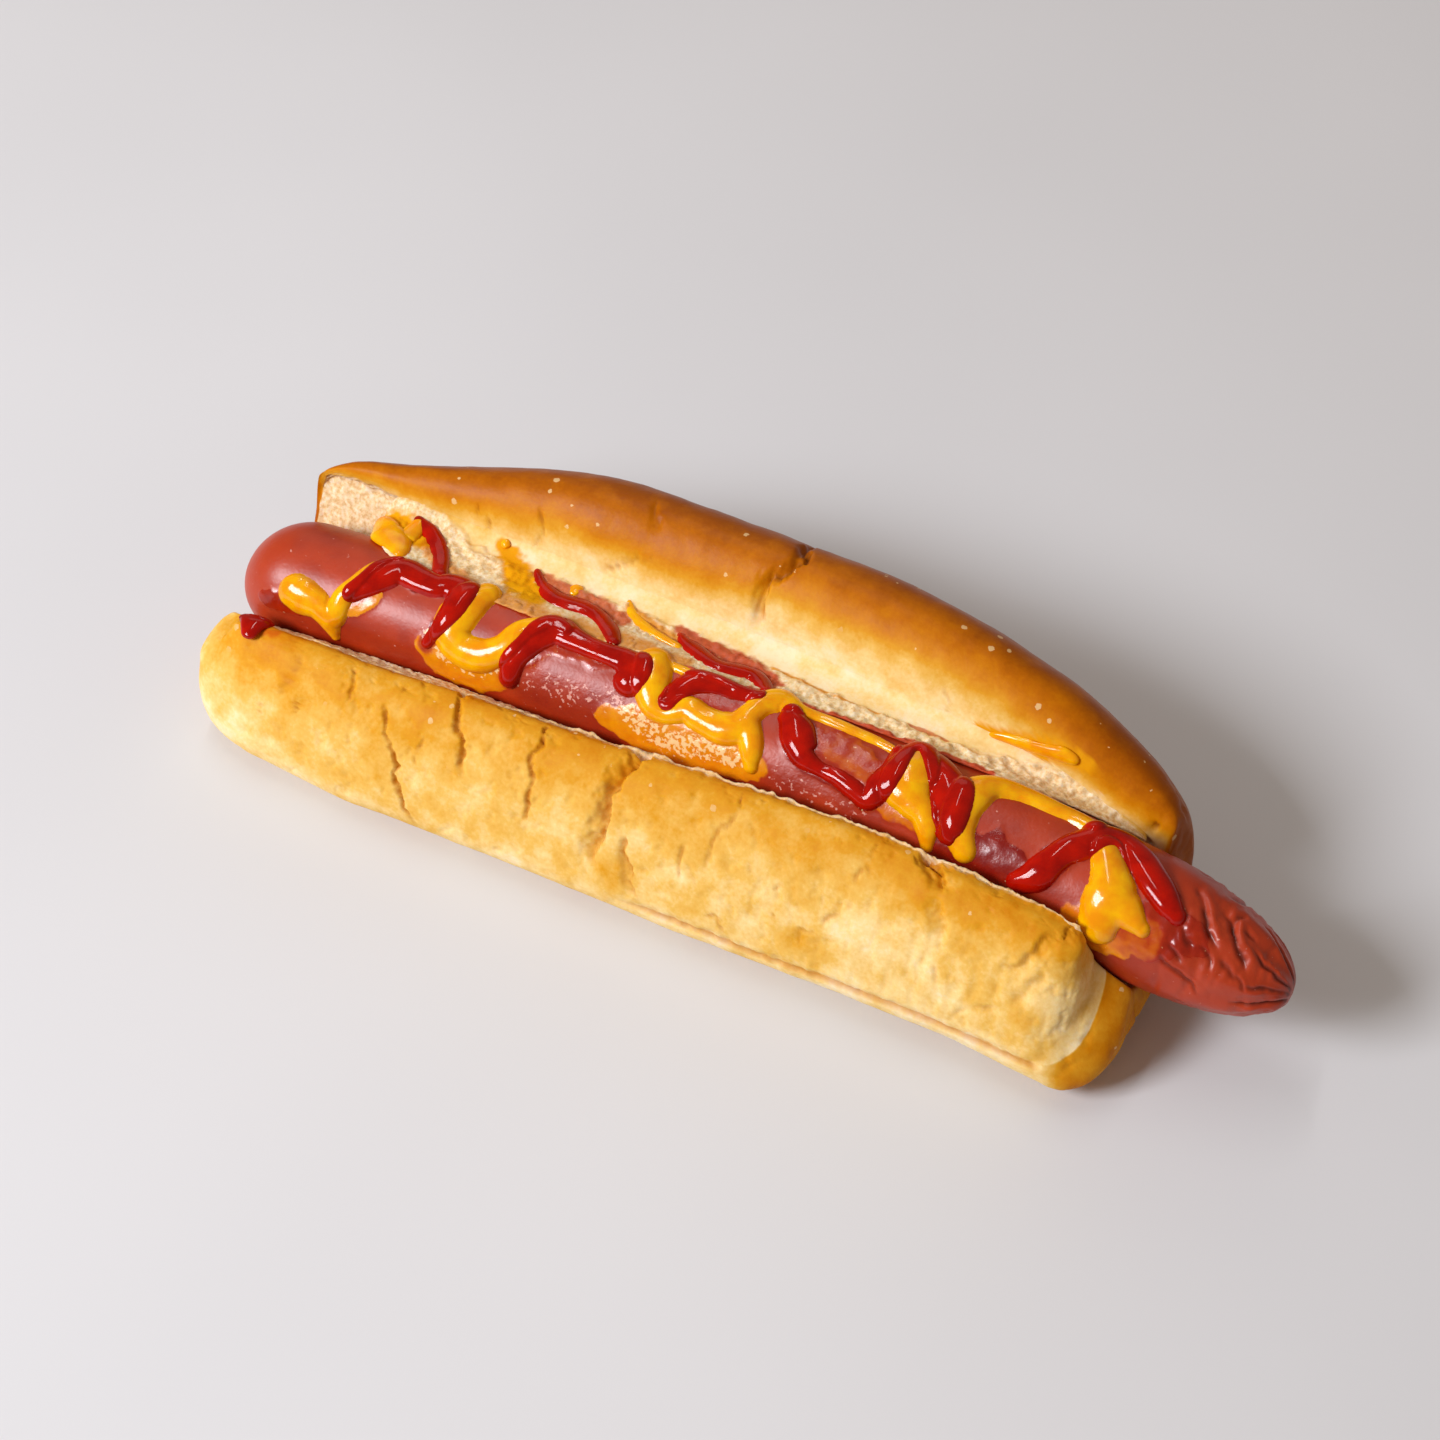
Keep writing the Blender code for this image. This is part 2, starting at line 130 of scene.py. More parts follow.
# Creases and cracks in the crust: the places (x in mm, t) that each runs through, from the lip outwards, then
# its depth before CREASE_SCALE and its half width towards -X and +X in mm, and how much painted shade it
# gets.
CREASES = (
    (((-75.0, 0.07), (-75.4, 0.097), (-76.2, 0.127), (-77.3, 0.152)), 0.35, 0.7, 0.6, 0.6),
    (((-74.1, 0.147), (-73.0, 0.167)), 0.3, 0.5, 0.5, 0.6),
    (((-80.0, 0.172), (-80.2, 0.195)), 0.2, 0.5, 0.5, 0.4),
    (((-65.0, 0.065), (-64.6, 0.1), (-64.6, 0.123)), 0.5, 0.7, 0.7, 0.8),
    (((-62.8, 0.162), (-62.0, 0.175)), 0.2, 0.5, 0.5, 0.4),
    (((-57.7, 0.108), (-56.6, 0.128), (-55.8, 0.145), (-55.0, 0.158), (-53.9, 0.17), (-52.4, 0.182),
      (-53.0, 0.19), (-52.7, 0.202), (-51.9, 0.215), (-50.7, 0.227), (-49.3, 0.25),
      (-48.1, 0.27)), 0.6, 0.5, 0.9, 1.0),
    (((-55.9, 0.068), (-55.5, 0.092)), 0.25, 0.5, 0.5, 0.5),
    (((-49.3, 0.127), (-49.2, 0.14), (-49.9, 0.157), (-49.9, 0.175)), 0.3, 0.5, 0.5, 0.6),
    (((-46.4, 0.02), (-45.7, 0.073), (-44.7, 0.093), (-43.9, 0.108), (-42.6, 0.122), (-42.2, 0.13),
      (-42.1, 0.143), (-41.5, 0.155), (-40.1, 0.165)), 0.9, 0.8, 1.1, 0.9),
    (((-30.2, 0.05), (-29.7, 0.077), (-29.1, 0.085), (-29.6, 0.107), (-29.3, 0.12), (-28.8, 0.135),
      (-28.7, 0.157), (-28.3, 0.182), (-28.6, 0.19), (-28.2, 0.2)), 0.6, 0.6, 0.6, 1.0),
    (((-12.0, 0.03), (-12.3, 0.043), (-13.4, 0.082), (-13.7, 0.108), (-14.3, 0.123), (-14.2, 0.142),
      (-13.9, 0.16), (-14.3, 0.177), (-15.0, 0.19), (-15.2, 0.202), (-14.0, 0.215)), 1.7, 3.6, 0.6, 0.8),
    (((-10.7, 0.158), (-10.2, 0.167), (-10.3, 0.178), (-9.2, 0.188), (-8.3, 0.2), (-8.4, 0.213),
      (-6.9, 0.225), (-5.7, 0.235)), 0.7, 1.6, 0.5, 0.9),
    (((-0.3, 0.14), (-0.3, 0.152), (-0.5, 0.165), (0.1, 0.187)), 0.35, 0.6, 0.5, 0.7),
    (((1.6, 0.168), (2.1, 0.177), (3.5, 0.182)), 0.2, 0.5, 0.5, 0.4),
    (((6.1, 0.045), (6.3, 0.075), (5.9, 0.092), (5.5, 0.107), (4.5, 0.11), (4.3, 0.127), (4.4, 0.14),
      (4.2, 0.155), (3.7, 0.163)), 0.45, 0.6, 0.5, 0.8),
    (((10.9, 0.133), (11.6, 0.15)), 0.2, 0.5, 0.5, 0.4),
    (((16.9, 0.145), (16.7, 0.157), (17.3, 0.167), (16.9, 0.178), (17.7, 0.192)), 0.35, 0.6, 0.5, 0.6),
    (((22.3, 0.138), (22.6, 0.153)), 0.2, 0.5, 0.5, 0.4),
    (((29.7, 0.055), (30.0, 0.078), (30.6, 0.1)), 0.25, 0.5, 0.5, 0.4),
    (((29.4, 0.095), (28.9, 0.103), (27.7, 0.12), (27.5, 0.127), (28.6, 0.135),
      (29.5, 0.147)), 0.35, 0.7, 0.6, 0.5),
    (((27.5, 0.143), (27.2, 0.158), (25.3, 0.173), (25.8, 0.185)), 0.3, 0.6, 0.6, 0.5),
    (((21.5, 0.207), (22.4, 0.19), (25.1, 0.185)), 0.35, 0.8, 0.5, 0.4),
    (((5.9, 0.218), (7.4, 0.212), (8.4, 0.218), (9.5, 0.233)), 0.3, 0.5, 0.5, 0.7),
    (((38.0, 0.012), (40.2, 0.035), (41.3, 0.05), (41.8, 0.063), (41.6, 0.085)), 1.6, 2.8, 0.8, 0.9),
    (((42.0, 0.09), (44.0, 0.12), (45.0, 0.15)), 0.7, 3.0, 1.0, 0.2),
    (((62.7, 0.053), (61.3, 0.057), (60.2, 0.075), (59.2, 0.098), (58.3, 0.115), (56.7, 0.13),
      (54.8, 0.14)), 0.65, 1.0, 3.2, 0.3),
    (((62.0, 0.118), (59.8, 0.147), (58.1, 0.172)), 0.45, 1.8, 2.8, 0.2),
    (((49.0, 0.232), (50.8, 0.207), (53.8, 0.193), (55.8, 0.19), (57.7, 0.193)), 0.35, 0.8, 0.8, 0.2),
    (((45.0, 0.168), (46.0, 0.188)), 0.3, 0.7, 0.7, 0.4),
    (((47.6, 0.163), (48.3, 0.177)), 0.25, 0.6, 0.6, 0.3),
    (((-60.6, 0.912), (-60.2, 0.927), (-59.9, 0.937)), 0.3, 0.5, 0.5, 0.7),
    (((-58.1, 0.935), (-57.6, 0.952), (-57.4, 0.958)), 0.3, 0.5, 0.5, 0.6),
    (((-49.5, 0.897), (-49.0, 0.907), (-48.2, 0.913), (-48.0, 0.927), (-48.5, 0.943),
      (-49.2, 0.958)), 0.35, 0.5, 0.5, 0.6),
    (((27.5, 0.923), (28.4, 0.935), (28.6, 0.947), (28.2, 0.96), (28.3, 0.977)), 0.35, 0.5, 0.5, 0.5),
    (((-35.9, 0.943), (-33.4, 0.93), (-30.9, 0.917), (-28.0, 0.91), (-27.1, 0.903)), 0.45, 0.6, 0.7, 0.5),
    (((-3.7, 0.78), (-3.7, 0.815), (-3.5, 0.827), (-2.5, 0.845), (-3.4, 0.857), (-4.8, 0.868),
      (-5.9, 0.877), (-6.4, 0.883), (-6.8, 0.893), (-6.8, 0.903), (-6.7, 0.915), (-6.4, 0.925),
      (-6.5, 0.933), (-7.1, 0.945)), 1.2, 2.2, 0.6, 1.0),
    (((-7.4, 0.96), (-5.6, 0.958), (-2.8, 0.953), (-0.4, 0.945)), 0.25, 0.5, 0.5, 0.4),
    (((-11.9, 0.945), (-12.2, 0.977)), 0.2, 0.8, 0.8, 0.2),
    (((-31.1, 0.842), (-29.3, 0.862), (-28.1, 0.877)), 0.45, 1.6, 1.0, 0.2),
    (((68.0, 0.84), (69.4, 0.833)), 0.4, 0.5, 0.5, 0.8),
    (((66.0, 0.965), (68.0, 0.94), (69.4, 0.898), (70.1, 0.832), (70.5, 0.8)), 1.2, 1.0, 1.0, 1.0),
    (((64.0, 0.975), (66.5, 0.985)), 0.6, 0.8, 0.8, 0.9),
    (((58.0, 0.912), (59.0, 0.927), (58.9, 0.95)), 0.25, 0.6, 0.6, 0.0),
)
# The seam under the front lobe, where the pale bottom of the bun folds under it. It is lined with painted
# shade.
SEAM = (
    (-12.0, 0.245), (-8.8, 0.25), (7.3, 0.249), (15.0, 0.255), (31.4, 0.25), (46.4, 0.25), (55.1, 0.247),
    (66.0, 0.24),
)
SEAM_DEPTH = 0.9

# Where the crust is baked: t of the middle of the golden band and of the cream one, along x in mm. From x 65
# on the bands drop, so the +X end, which faces away from the key light, is paler: painted light.
GOLDEN_BAND = (
    (-92, 0.93), (-75, 0.925), (-60, 0.91), (-45, 0.90), (-30, 0.908), (-15, 0.897), (0, 0.885), (15, 0.889),
    (30, 0.89), (45, 0.90), (55, 0.92), (65, 0.925), (75, 0.87),
)
CREAM_BAND = (
    (-92, 0.975), (-75, 0.965), (-60, 0.945), (-45, 0.93), (-30, 0.932), (-15, 0.93), (0, 0.92), (15, 0.92),
    (30, 0.93), (45, 0.94), (55, 0.95), (65, 0.96), (75, 0.91),
)
# The crust's colour as it bakes, from cream to the deep brown of the bun's top.
CRUST_COLOURS = (
    (0.0, "#fae6be"), (0.12, "#f6d592"), (0.26, "#e8b85a"), (0.42, "#dc9a20"), (0.6, "#d08002"),
    (0.8, "#bc6802"), (1.0, "#a05003"),
)

# The torn crumb's colours, from the shade in its pores to its highest flakes.
CRUMB_COLOURS = ((0.3, "#dfb57c"), (0.5, "#f2d4a2"), (0.7, "#fbe8c8"))
# Painted shade in the crust's cracks and creases, from those in pale crust to those in brown crust.
CRACK_SHADE_COLOURS = ((0.2, "#bc7004"), (0.5, "#984a02"), (0.8, "#5a2402"))
# Thin sauce on the skin, from mustard alone to ketchup alone.
THIN_SAUCE_COLOURS = ((0.0, "#e69400"), (0.3, "#cf6a02"), (0.6, "#a82804"), (1.0, "#800a02"))

# The drizzle: strands through places (x in mm, angle in degrees round the sausage from its top, front
# negative, half width in mm).
MUSTARD = (
    ((-82.3, -51, 2.3), (-80.4, -54, 2.5), (-77.7, -57, 2.0), (-76.0, -62, 1.8), (-74.4, -63, 1.7),
     (-73.8, -51, 1.5), (-73.4, -40, 1.4), (-72.1, -26, 1.3), (-70.7, -10, 1.1), (-69.2, 2, 0.8),
     (-67.6, 7, 0.6)),
    ((-76.0, -62, 1.5), (-74.5, -73, 1.3), (-73.7, -84, 0.7)),
    ((-50.6, 4, 1.9), (-52.0, -10, 2.4), (-52.9, -24, 2.6), (-52.8, -42, 2.6), (-50.3, -54, 2.4),
     (-46.5, -54, 2.1), (-43.3, -41, 1.9), (-41.3, -22, 1.7), (-39.4, -12, 1.5), (-37.2, -5, 1.2),
     (-34.2, -7, 0.8)),
    ((-18.4, -2, 2.1), (-17.3, -15, 2.2), (-16.2, -30, 2.2), (-14.8, -41, 1.9), (-12.5, -43, 1.5),
     (-10.9, -39, 1.5), (-9.2, -33, 1.7), (-6.4, -36, 1.9), (-2.6, -37, 2.1), (-0.3, -30, 2.1),
     (0.8, -15, 1.9), (1.8, -1, 1.9), (3.7, 9, 1.9), (5.5, 9, 1.5), (7.7, 7, 1.1), (11.5, 9, 0.8),
     (16.8, 9, 0.8), (21.7, 9, 0.7), (25.2, 6, 0.7)),
    ((1.2, -23, 1.5), (2.9, -40, 1.6), (4.1, -58, 1.1)),
    ((-16.5, 1, 0.6), (-11.5, 0, 0.7), (-6.6, 2, 0.7), (-1.1, 2, 0.8), (2.9, 9, 0.9)),
    ((28.9, 14, 1.9), (29.4, -4, 2.8), (29.8, -20, 3.3), (31.6, -30, 2.4), (33.9, -38, 1.7),
     (35.3, -49, 1.4), (36.0, -61, 0.9)),
    ((42.0, -51, 1.5), (39.8, -35, 2.1), (39.3, -16, 2.2), (40.0, 1, 2.2), (41.9, 15, 1.9), (44.8, 21, 1.6),
     (48.1, 23, 1.4), (52.0, 23, 1.3), (55.9, 23, 1.2), (59.2, 19, 1.2)),
    ((63.1, -2, 1.9), (64.7, -15, 2.4), (66.0, -29, 3.0), (65.9, -44, 3.1), (65.9, -59, 2.6)),
    ((66.6, -33, 2.2), (69.6, -39, 2.1), (72.6, -46, 1.2)),
)
KETCHUP = (
    ((-71.8, -36, 1.3), (-69.7, -23, 1.8), (-67.9, -9, 2.1), (-65.8, -1, 2.2), (-62.2, -4, 2.1),
     (-59.1, -5, 2.0), (-57.1, 0, 2.0), (-54.3, -3, 1.9), (-53.7, -19, 1.7), (-54.4, -35, 1.4),
     (-55.6, -48, 1.1), (-56.5, -59, 0.8)),
    ((-40.7, -64, 1.3), (-40.5, -47, 1.6), (-39.1, -32, 1.7), (-37.5, -15, 1.9), (-35.7, -7, 1.9),
     (-32.8, -10, 1.7), (-28.8, -12, 1.5), (-25.8, -12, 1.5), (-22.9, -12, 1.7), (-20.4, -18, 2.2),
     (-20.4, -27, 2.1)),
    ((-12.7, -32, 1.3), (-11.9, -19, 1.5), (-10.1, -7, 1.6), (-6.9, -2, 1.5), (-3.9, -2, 1.3),
     (-1.5, -1, 1.0), (0.7, 2, 0.8)),
    ((7.1, -5, 1.5), (9.0, -14, 2.2), (10.7, -25, 2.3), (12.1, -33, 1.7), (15.2, -37, 1.0),
     (18.6, -38, 1.0), (21.7, -42, 1.2), (24.3, -45, 1.3), (25.4, -33, 1.7), (26.4, -15, 1.8),
     (26.5, 5, 1.4), (27.4, 14, 1.0), (29.0, 17, 1.0), (31.6, 12, 1.7), (34.4, 1, 2.5), (36.9, -13, 2.7),
     (38.4, -33, 2.2), (38.6, -44, 1.3)),
    ((51.7, -57, 1.4), (54.1, -45, 1.9), (55.6, -29, 1.9), (57.1, -14, 1.9), (59.1, -1, 1.9),
     (60.7, 12, 1.9), (62.6, 19, 2.0), (65.1, 19, 2.1), (67.7, 11, 2.1), (70.3, 0, 2.0), (72.7, -9, 1.9),
     (74.8, -17, 1.7), (76.7, -23, 1.2)),
)
# Thin sauce that has spread over the skin: how red each sheet of it is, then its places as for a strand.
SHEETS = (
    (0.1, ((-73.2, -56, 1.2), (-70.3, -46, 1.7), (-67.7, -31, 1.0))),
    (0.1, ((-56.6, -62, 2.0), (-52.0, -74, 3.2), (-44.4, -70, 3.2), (-41.1, -55, 1.9))),
    (0.6, ((-39.0, -42, 1.7), (-36.1, -23, 2.1), (-30.9, -19, 2.1), (-24.6, -18, 1.6))),
    (0.12, ((-22.2, -65, 2.2), (-15.9, -65, 4.1), (-8.6, -64, 4.7), (-1.4, -60, 3.9), (4.7, -59, 2.2))),
    (0.7, ((-10.6, -29, 1.5), (-7.5, -14, 2.2), (-3.1, -15, 1.9), (0.4, -17, 1.2))),
    (0.55, ((11.0, -17, 2.2), (15.0, -13, 3.5), (20.1, -18, 3.4), (24.1, -18, 2.0))),
    (0.4, ((19.8, -34, 1.6), (23.5, -31, 2.1), (26.0, -24, 1.6))),
    (0.95, ((36.1, -51, 2.4), (41.6, -53, 3.7), (46.6, -50, 4.6), (50.3, -47, 2.9))),
    (0.2, ((62.8, -69, 3.2), (67.3, -60, 4.6), (72.9, -53, 3.2))),
    (0.75, ((71.9, -49, 4.0), (75.9, -38, 5.0), (79.9, -34, 3.0))),
    (0.3, ((28.0, -38, 2.8), (32.5, -33, 3.7))),
    (0.7, ((-88.0, -66, 1.2), (-84.5, -64, 2.2), (-81.0, -66, 1.4))),
)
SHEET_THICKNESS = 0.25 * MM
# Wrinkles in the tapered end and the pleats that meet at its point: places (x in mm, angle), depth and half
# width in mm.
WRINKLES = (
    (((77.0, 15), (78.3, 7), (79.9, -4), (81.7, -18), (83.3, -27), (84.5, -35)), 0.8, 0.9),
    (((82.7, 9), (84.5, 0), (85.9, -12), (87.6, -24), (89.8, -42)), 0.8, 0.9),
    (((84.7, -2), (85.2, 11), (86.3, 21)), 0.5, 0.8),
    (((88.6, -12), (91.2, -19), (92.9, -22), (94.5, -25), (96.2, -26)), 0.7, 0.6),
    (((88.0, 42), (90.2, 37), (92.4, 24), (94.4, 17), (96.2, 15)), 0.7, 0.6),
    (((89.5, -56), (91.7, -53), (93.4, -52), (95.1, -52), (96.2, -52)), 0.7, 0.6),
    (((88.0, -86), (90.5, -85), (92.8, -83), (94.9, -80), (96.2, -78)), 0.7, 0.6),
    (((90.0, -118), (92.5, -112), (94.5, -108), (96.2, -106)), 0.7, 0.6),
    (((88.5, -150), (91.0, -146), (94.0, -140), (96.2, -138)), 0.7, 0.6),
    (((90.0, 176), (92.0, 172), (94.5, 170), (96.2, 170)), 0.7, 0.6),
    (((88.0, 128), (91.0, 132), (94.0, 135), (96.2, 136)), 0.7, 0.6),
    (((89.5, 84), (92.0, 88), (94.5, 92), (96.2, 94)), 0.7, 0.6),
    (((88.5, 52), (91.0, 55), (94.0, 56), (96.2, 56)), 0.6, 0.6),
    (((75.5, -58), (77.0, -62), (79.8, -69), (82.6, -79), (85.0, -86)), 0.55, 0.6),
    (((86.5, 2), (87.8, 2), (89.2, 3)), 0.4, 0.6),
    (((87.6, -46), (89.1, -54), (90.6, -63)), 0.4, 0.5),
    (((77.2, -42), (78.6, -49), (80.5, -57)), 0.5, 0.6),
    (((78.0, -24), (79.5, -33), (80.9, -43)), 0.5, 0.6),
    (((81.2, -37), (83.4, -45), (84.6, -53)), 0.5, 0.6),
    (((85.0, -36), (86.8, -48), (88.8, -55)), 0.45, 0.6),
    (((82.0, 28), (84.0, 40), (85.0, 60), (86.0, 78)), 0.6, 0.9),
    (((76.0, 40), (79.0, 55), (80.5, 75)), 0.5, 0.9),
    (((78.0, 100), (81.0, 120), (83.0, 140)), 0.6, 0.9),
    (((80.0, -105), (83.0, -122), (84.5, -140)), 0.6, 0.9),
    (((85.0, 165), (86.5, 185), (87.0, 205)), 0.5, 0.8),
)

# The torn crumb that hangs over the sausage's back: x in mm, and the angle round the sausage where it ends.
OVERHANG_EDGE = (
    (-78, 52), (-74, 24), (-70, 11), (-66, 6), (-60, 1), (-50, -2), (-40, -4), (-30, -4), (-20, 0), (-10, 3),
    (0, 6), (6, 11), (14, 17), (22, 20), (30, 23), (40, 30), (48, 38), (54, 46), (60, 50), (66, 52),
)
# The t on the back lobe's crust where it begins.
OVERHANG_TOP = 0.94
# How far up it, in v, the torn crumb reaches before the crust begins, along x in mm.
OVERHANG_TORN = (
    (-78, 1.0), (-66, 0.85), (-60, 0.52), (-50, 0.44), (-40, 0.46), (-30, 0.5), (-20, 0.44), (-10, 0.4),
    (0, 0.32), (10, 0.26), (20, 0.24), (30, 0.24), (38, 0.34), (44, 0.7), (50, 0.95), (60, 0.9), (66, 0.8),
)
# How far the crumb runs down the crust before it bends out over the sausage, how high over the skin its free
# edge and its underside lie, how far round the sausage it is rooted, and how long its rounded ends are.
OVERHANG_BEND = 4.5 * MM
OVERHANG_LIFT = 0.5 * MM
OVERHANG_GAP = 0.15 * MM
OVERHANG_ROOT = 84
OVERHANG_END = 7 * MM
# Sauce on it: (x in mm, v, half width in mm). v runs up it, from 0 at its free edge to 1 on the crust.
CRUMB_MUSTARD = (
    ((-77.8, 0.2, 0.9), (-76.0, 0.18, 1.5), (-74.1, 0.16, 1.9), (-71.6, 0.16, 2.0), (-69.8, 0.12, 1.5),
     (-68.2, 0.03, 0.7)),
    ((-70.0, 0.6, 0.6), (-69.9, 0.42, 1.1), (-70.2, 0.23, 1.5)),
    ((-54.6, 0.82, 0.4), (-54.0, 0.76, 0.6), (-53.4, 0.7, 0.4)),
    ((-39.4, 0.5, 0.5), (-38.4, 0.46, 0.9), (-37.4, 0.43, 0.5)),
    ((-29.5, 0.62, 0.3), (-27.6, 0.45, 0.6), (-23.8, 0.32, 0.7), (-19.5, 0.25, 0.6), (-16.2, 0.22, 0.4)),
)
CRUMB_KETCHUP = (
    ((-71.2, 0.6, 0.4), (-69.6, 0.54, 0.7), (-67.4, 0.48, 1.0), (-65.0, 0.38, 1.1), (-62.6, 0.24, 1.1),
     (-61.0, 0.12, 1.1), (-59.7, 0.02, 1.1)),
    ((-46.8, 0.55, 0.4), (-45.0, 0.42, 0.7), (-42.6, 0.32, 1.0), (-40.1, 0.27, 1.1), (-37.6, 0.27, 1.2),
     (-35.0, 0.28, 1.3), (-32.1, 0.25, 1.3), (-29.1, 0.16, 1.2), (-27.2, 0.08, 1.1), (-25.9, 0.0, 0.9)),
    ((-18.6, 0.42, 0.4), (-16.6, 0.32, 0.8), (-14.2, 0.26, 1.1), (-11.2, 0.19, 1.2), (-8.6, 0.16, 1.2),
     (-5.6, 0.19, 1.3), (-2.8, 0.2, 1.2), (-0.4, 0.13, 1.0), (1.4, 0.02, 0.7)),
)
# Where sauce has only soaked into it, and painted shade in the sauce's colours along its free edge: how red
# it is, then the same.
CRUMB_STAINS_AND_SHADE = (
    (0.0, ((-77.5, 0.3, 2.0), (-72.0, 0.35, 3.0), (-67.0, 0.3, 2.0))),
    (0.35, ((-66.0, 0.3, 1.4), (-60.0, 0.12, 1.8), (-55.0, 0.08, 1.6))),
    (0.0, ((-54.6, 0.72, 1.1), (-51.0, 0.52, 2.1), (-47.5, 0.3, 3.2), (-43.8, 0.2, 3.0))),
    (0.75, ((-46.0, 0.48, 1.0), (-40.0, 0.38, 1.8), (-34.0, 0.40, 1.8), (-28.0, 0.3, 1.6))),
    # Partly sauce in the crumb, partly painted shade along the free edge.
    (0.3, ((-56.0, 0.02, 1.5), (-46.0, 0.04, 1.9), (-36.0, 0.04, 1.9), (-24.0, 0.08, 1.9),
     (-14.0, 0.06, 1.4))),
    (0.2, ((-28.5, 0.5, 0.9), (-23.8, 0.36, 1.5), (-17.5, 0.26, 1.5))),
    (0.85, ((-18.5, 0.45, 1.1), (-13.0, 0.36, 2.0), (-6.0, 0.33, 2.0), (1.0, 0.2, 1.4))),
    (0.15, ((-1.0, 0.42, 0.4), (8.0, 0.32, 0.5), (16.0, 0.28, 0.4), (24.0, 0.27, 0.3))),
    (0.6, ((24.0, 0.32, 0.3), (27.0, 0.32, 0.6), (31.0, 0.30, 0.3))),
    # Painted shade in ketchup's colour: the shadow gap between the free edge and the sausage.
    (0.9, ((-13.0, 0.0, 0.7), (0.0, 0.0, 0.8), (14.0, 0.0, 0.8), (28.0, 0.0, 0.8), (40.0, 0.0, 0.7))),
)
# Sauce on the back lobe near +X: (x in mm, t, half width in mm). Past 1, t runs on from the cut edge over the
# crust.
BACK_MUSTARD = (
    ((36.5, 1.05, 0.3), (40.0, 1.057, 0.5), (43.2, 1.062, 0.6), (46.1, 1.068, 0.7), (49.2, 1.076, 0.9),
     (52.0, 1.078, 0.5)),
)
# Where sauce has only soaked in there: how red it is, then the same.
BACK_SOAKED = (
    (0.0, ((35.0, 1.05, 1.2), (44.3, 1.066, 1.8), (48.2, 1.074, 2.2), (54.0, 1.08, 1.2))),
)
# Painted highlights: pale specks for the key light's glints on the skin's low front. How much, then (x in mm,
# angle, half width in mm).
PAINTED_GLINT_PATCHES = (
    (1.0, ((-57.0, -48, 1.0), (-56.3, -58, 1.5))),
    (0.9, ((-53.0, -60, 2.2), (-47.0, -64, 2.6), (-42.5, -56, 1.5))),
    (0.62, ((-38.0, -58, 2.6), (-32.0, -58, 3.2), (-26.0, -54, 2.6))),
    (1.0, ((-23.0, -44, 1.4), (-19.5, -55, 2.4), (-12.0, -63, 2.9), (-5.0, -61, 2.9), (2.0, -55, 1.8))),
    (0.5, ((9.0, -56, 2.2), (16.0, -58, 2.6), (24.0, -60, 2.2))),
)
# A drop of ketchup that hangs over the front lip at -X, from the cut surface out over the crust, and a smear.
LIP_DROP = (
    (-87.3, 0.035, 1.5), (-86.8, 0.005, 2.1), (-86.3, -0.025, 2.2), (-86.0, -0.055, 1.6),
    (-85.5, -0.085, 0.9),
)
LIP_SMEAR = ((-86.4, -0.03, 0.9), (-83.8, -0.05, 1.1), (-81.3, -0.045, 0.9))

# The view of the photograph: degrees round from square on and degrees up, the lens and its film in mm, how
# far away it is, and the point that it looks at: its height, and how far it is moved across and up the view.
VIEW_TURN = 28
VIEW_LIFT = 50
LENS = 70
FILM_WIDTH = 36
VIEW_DISTANCE = 0.467
VIEW_HEIGHT = 18 * MM
VIEW_ACROSS = -6.2 * MM
VIEW_UP = 4.6 * MM


def linear(hex_colour):
    """An sRGB hex colour as linear RGBA."""
    parts = [int(hex_colour[k:k + 2], 16) / 255 for k in (1, 3, 5)]
    return tuple(c / 12.92 if c <= 0.04045 else ((c + 0.055) / 1.055) ** 2.4 for c in parts) + (1.0,)


# --- the shapes that the sausage and the bun follow, worked out for whole arrays of places ---

def mix(a, b, share):
    """a where the share is 0, b where it is 1."""
    return a + (b - a) * share


def ease(low, high, value):
    """0 below low, 1 above high, and a smooth rise between them."""
    share = np.clip((value - low) / (high - low), 0.0, 1.0)
    return share * share * (3 - 2 * share)


def smooth_curve(points, t):
    """The points at t, from 0 to 1, of a Catmull-Rom curve through the points."""
    points = np.array(points, float)
    spans = len(points) - 1
    place = np.clip(t, 0.0, 1.0) * spans
    i = np.minimum(place.astype(int), spans - 1)
    f = (place - i)[..., None]
    a, b, c, d = (points[np.clip(i + k, 0, spans)] for k in (-1, 0, 1, 2))
    square, cube = 2 * a - 5 * b + 4 * c - d, 3 * b - a - 3 * c + d
    return 0.5 * (2 * b + (c - a) * f + square * f ** 2 + cube * f ** 3)


def round_cap(distance, cap):
    """How full the shape is at a distance from its end: a quarter ellipse that is cap long."""
    return np.sqrt(np.maximum(1 - (1 - np.clip(distance / cap, 0.0, 1.0)) ** 2, 0.0))


def speckle(points, size, octaves=2, shift=0.0):
    """Smooth noise, about -1 to 1, whose coarsest lumps are size mm across."""
    scaled = points.reshape(-1, 3) / (size * MM) + shift
    values = [noise.fractal(Vector(p), 1.0, 2.0, octaves) for p in scaled.tolist()]
    return np.array(values).reshape(points.shape[:-1])


def stacked(*columns):
    """Points from their x, y and z, each an array or a single value."""
    return np.stack(np.broadcast_arrays(*columns), axis=-1)


def sausage_line(x):
    """(y, z) of the sausage's centre line at x."""
    along = 2 * x / SAUSAGE_LENGTH
    return SAUSAGE_Y + SAUSAGE_BOW * (1 - along ** 2), SAUSAGE_HEIGHT - SAUSAGE_DROOP * np.abs(along) ** 3


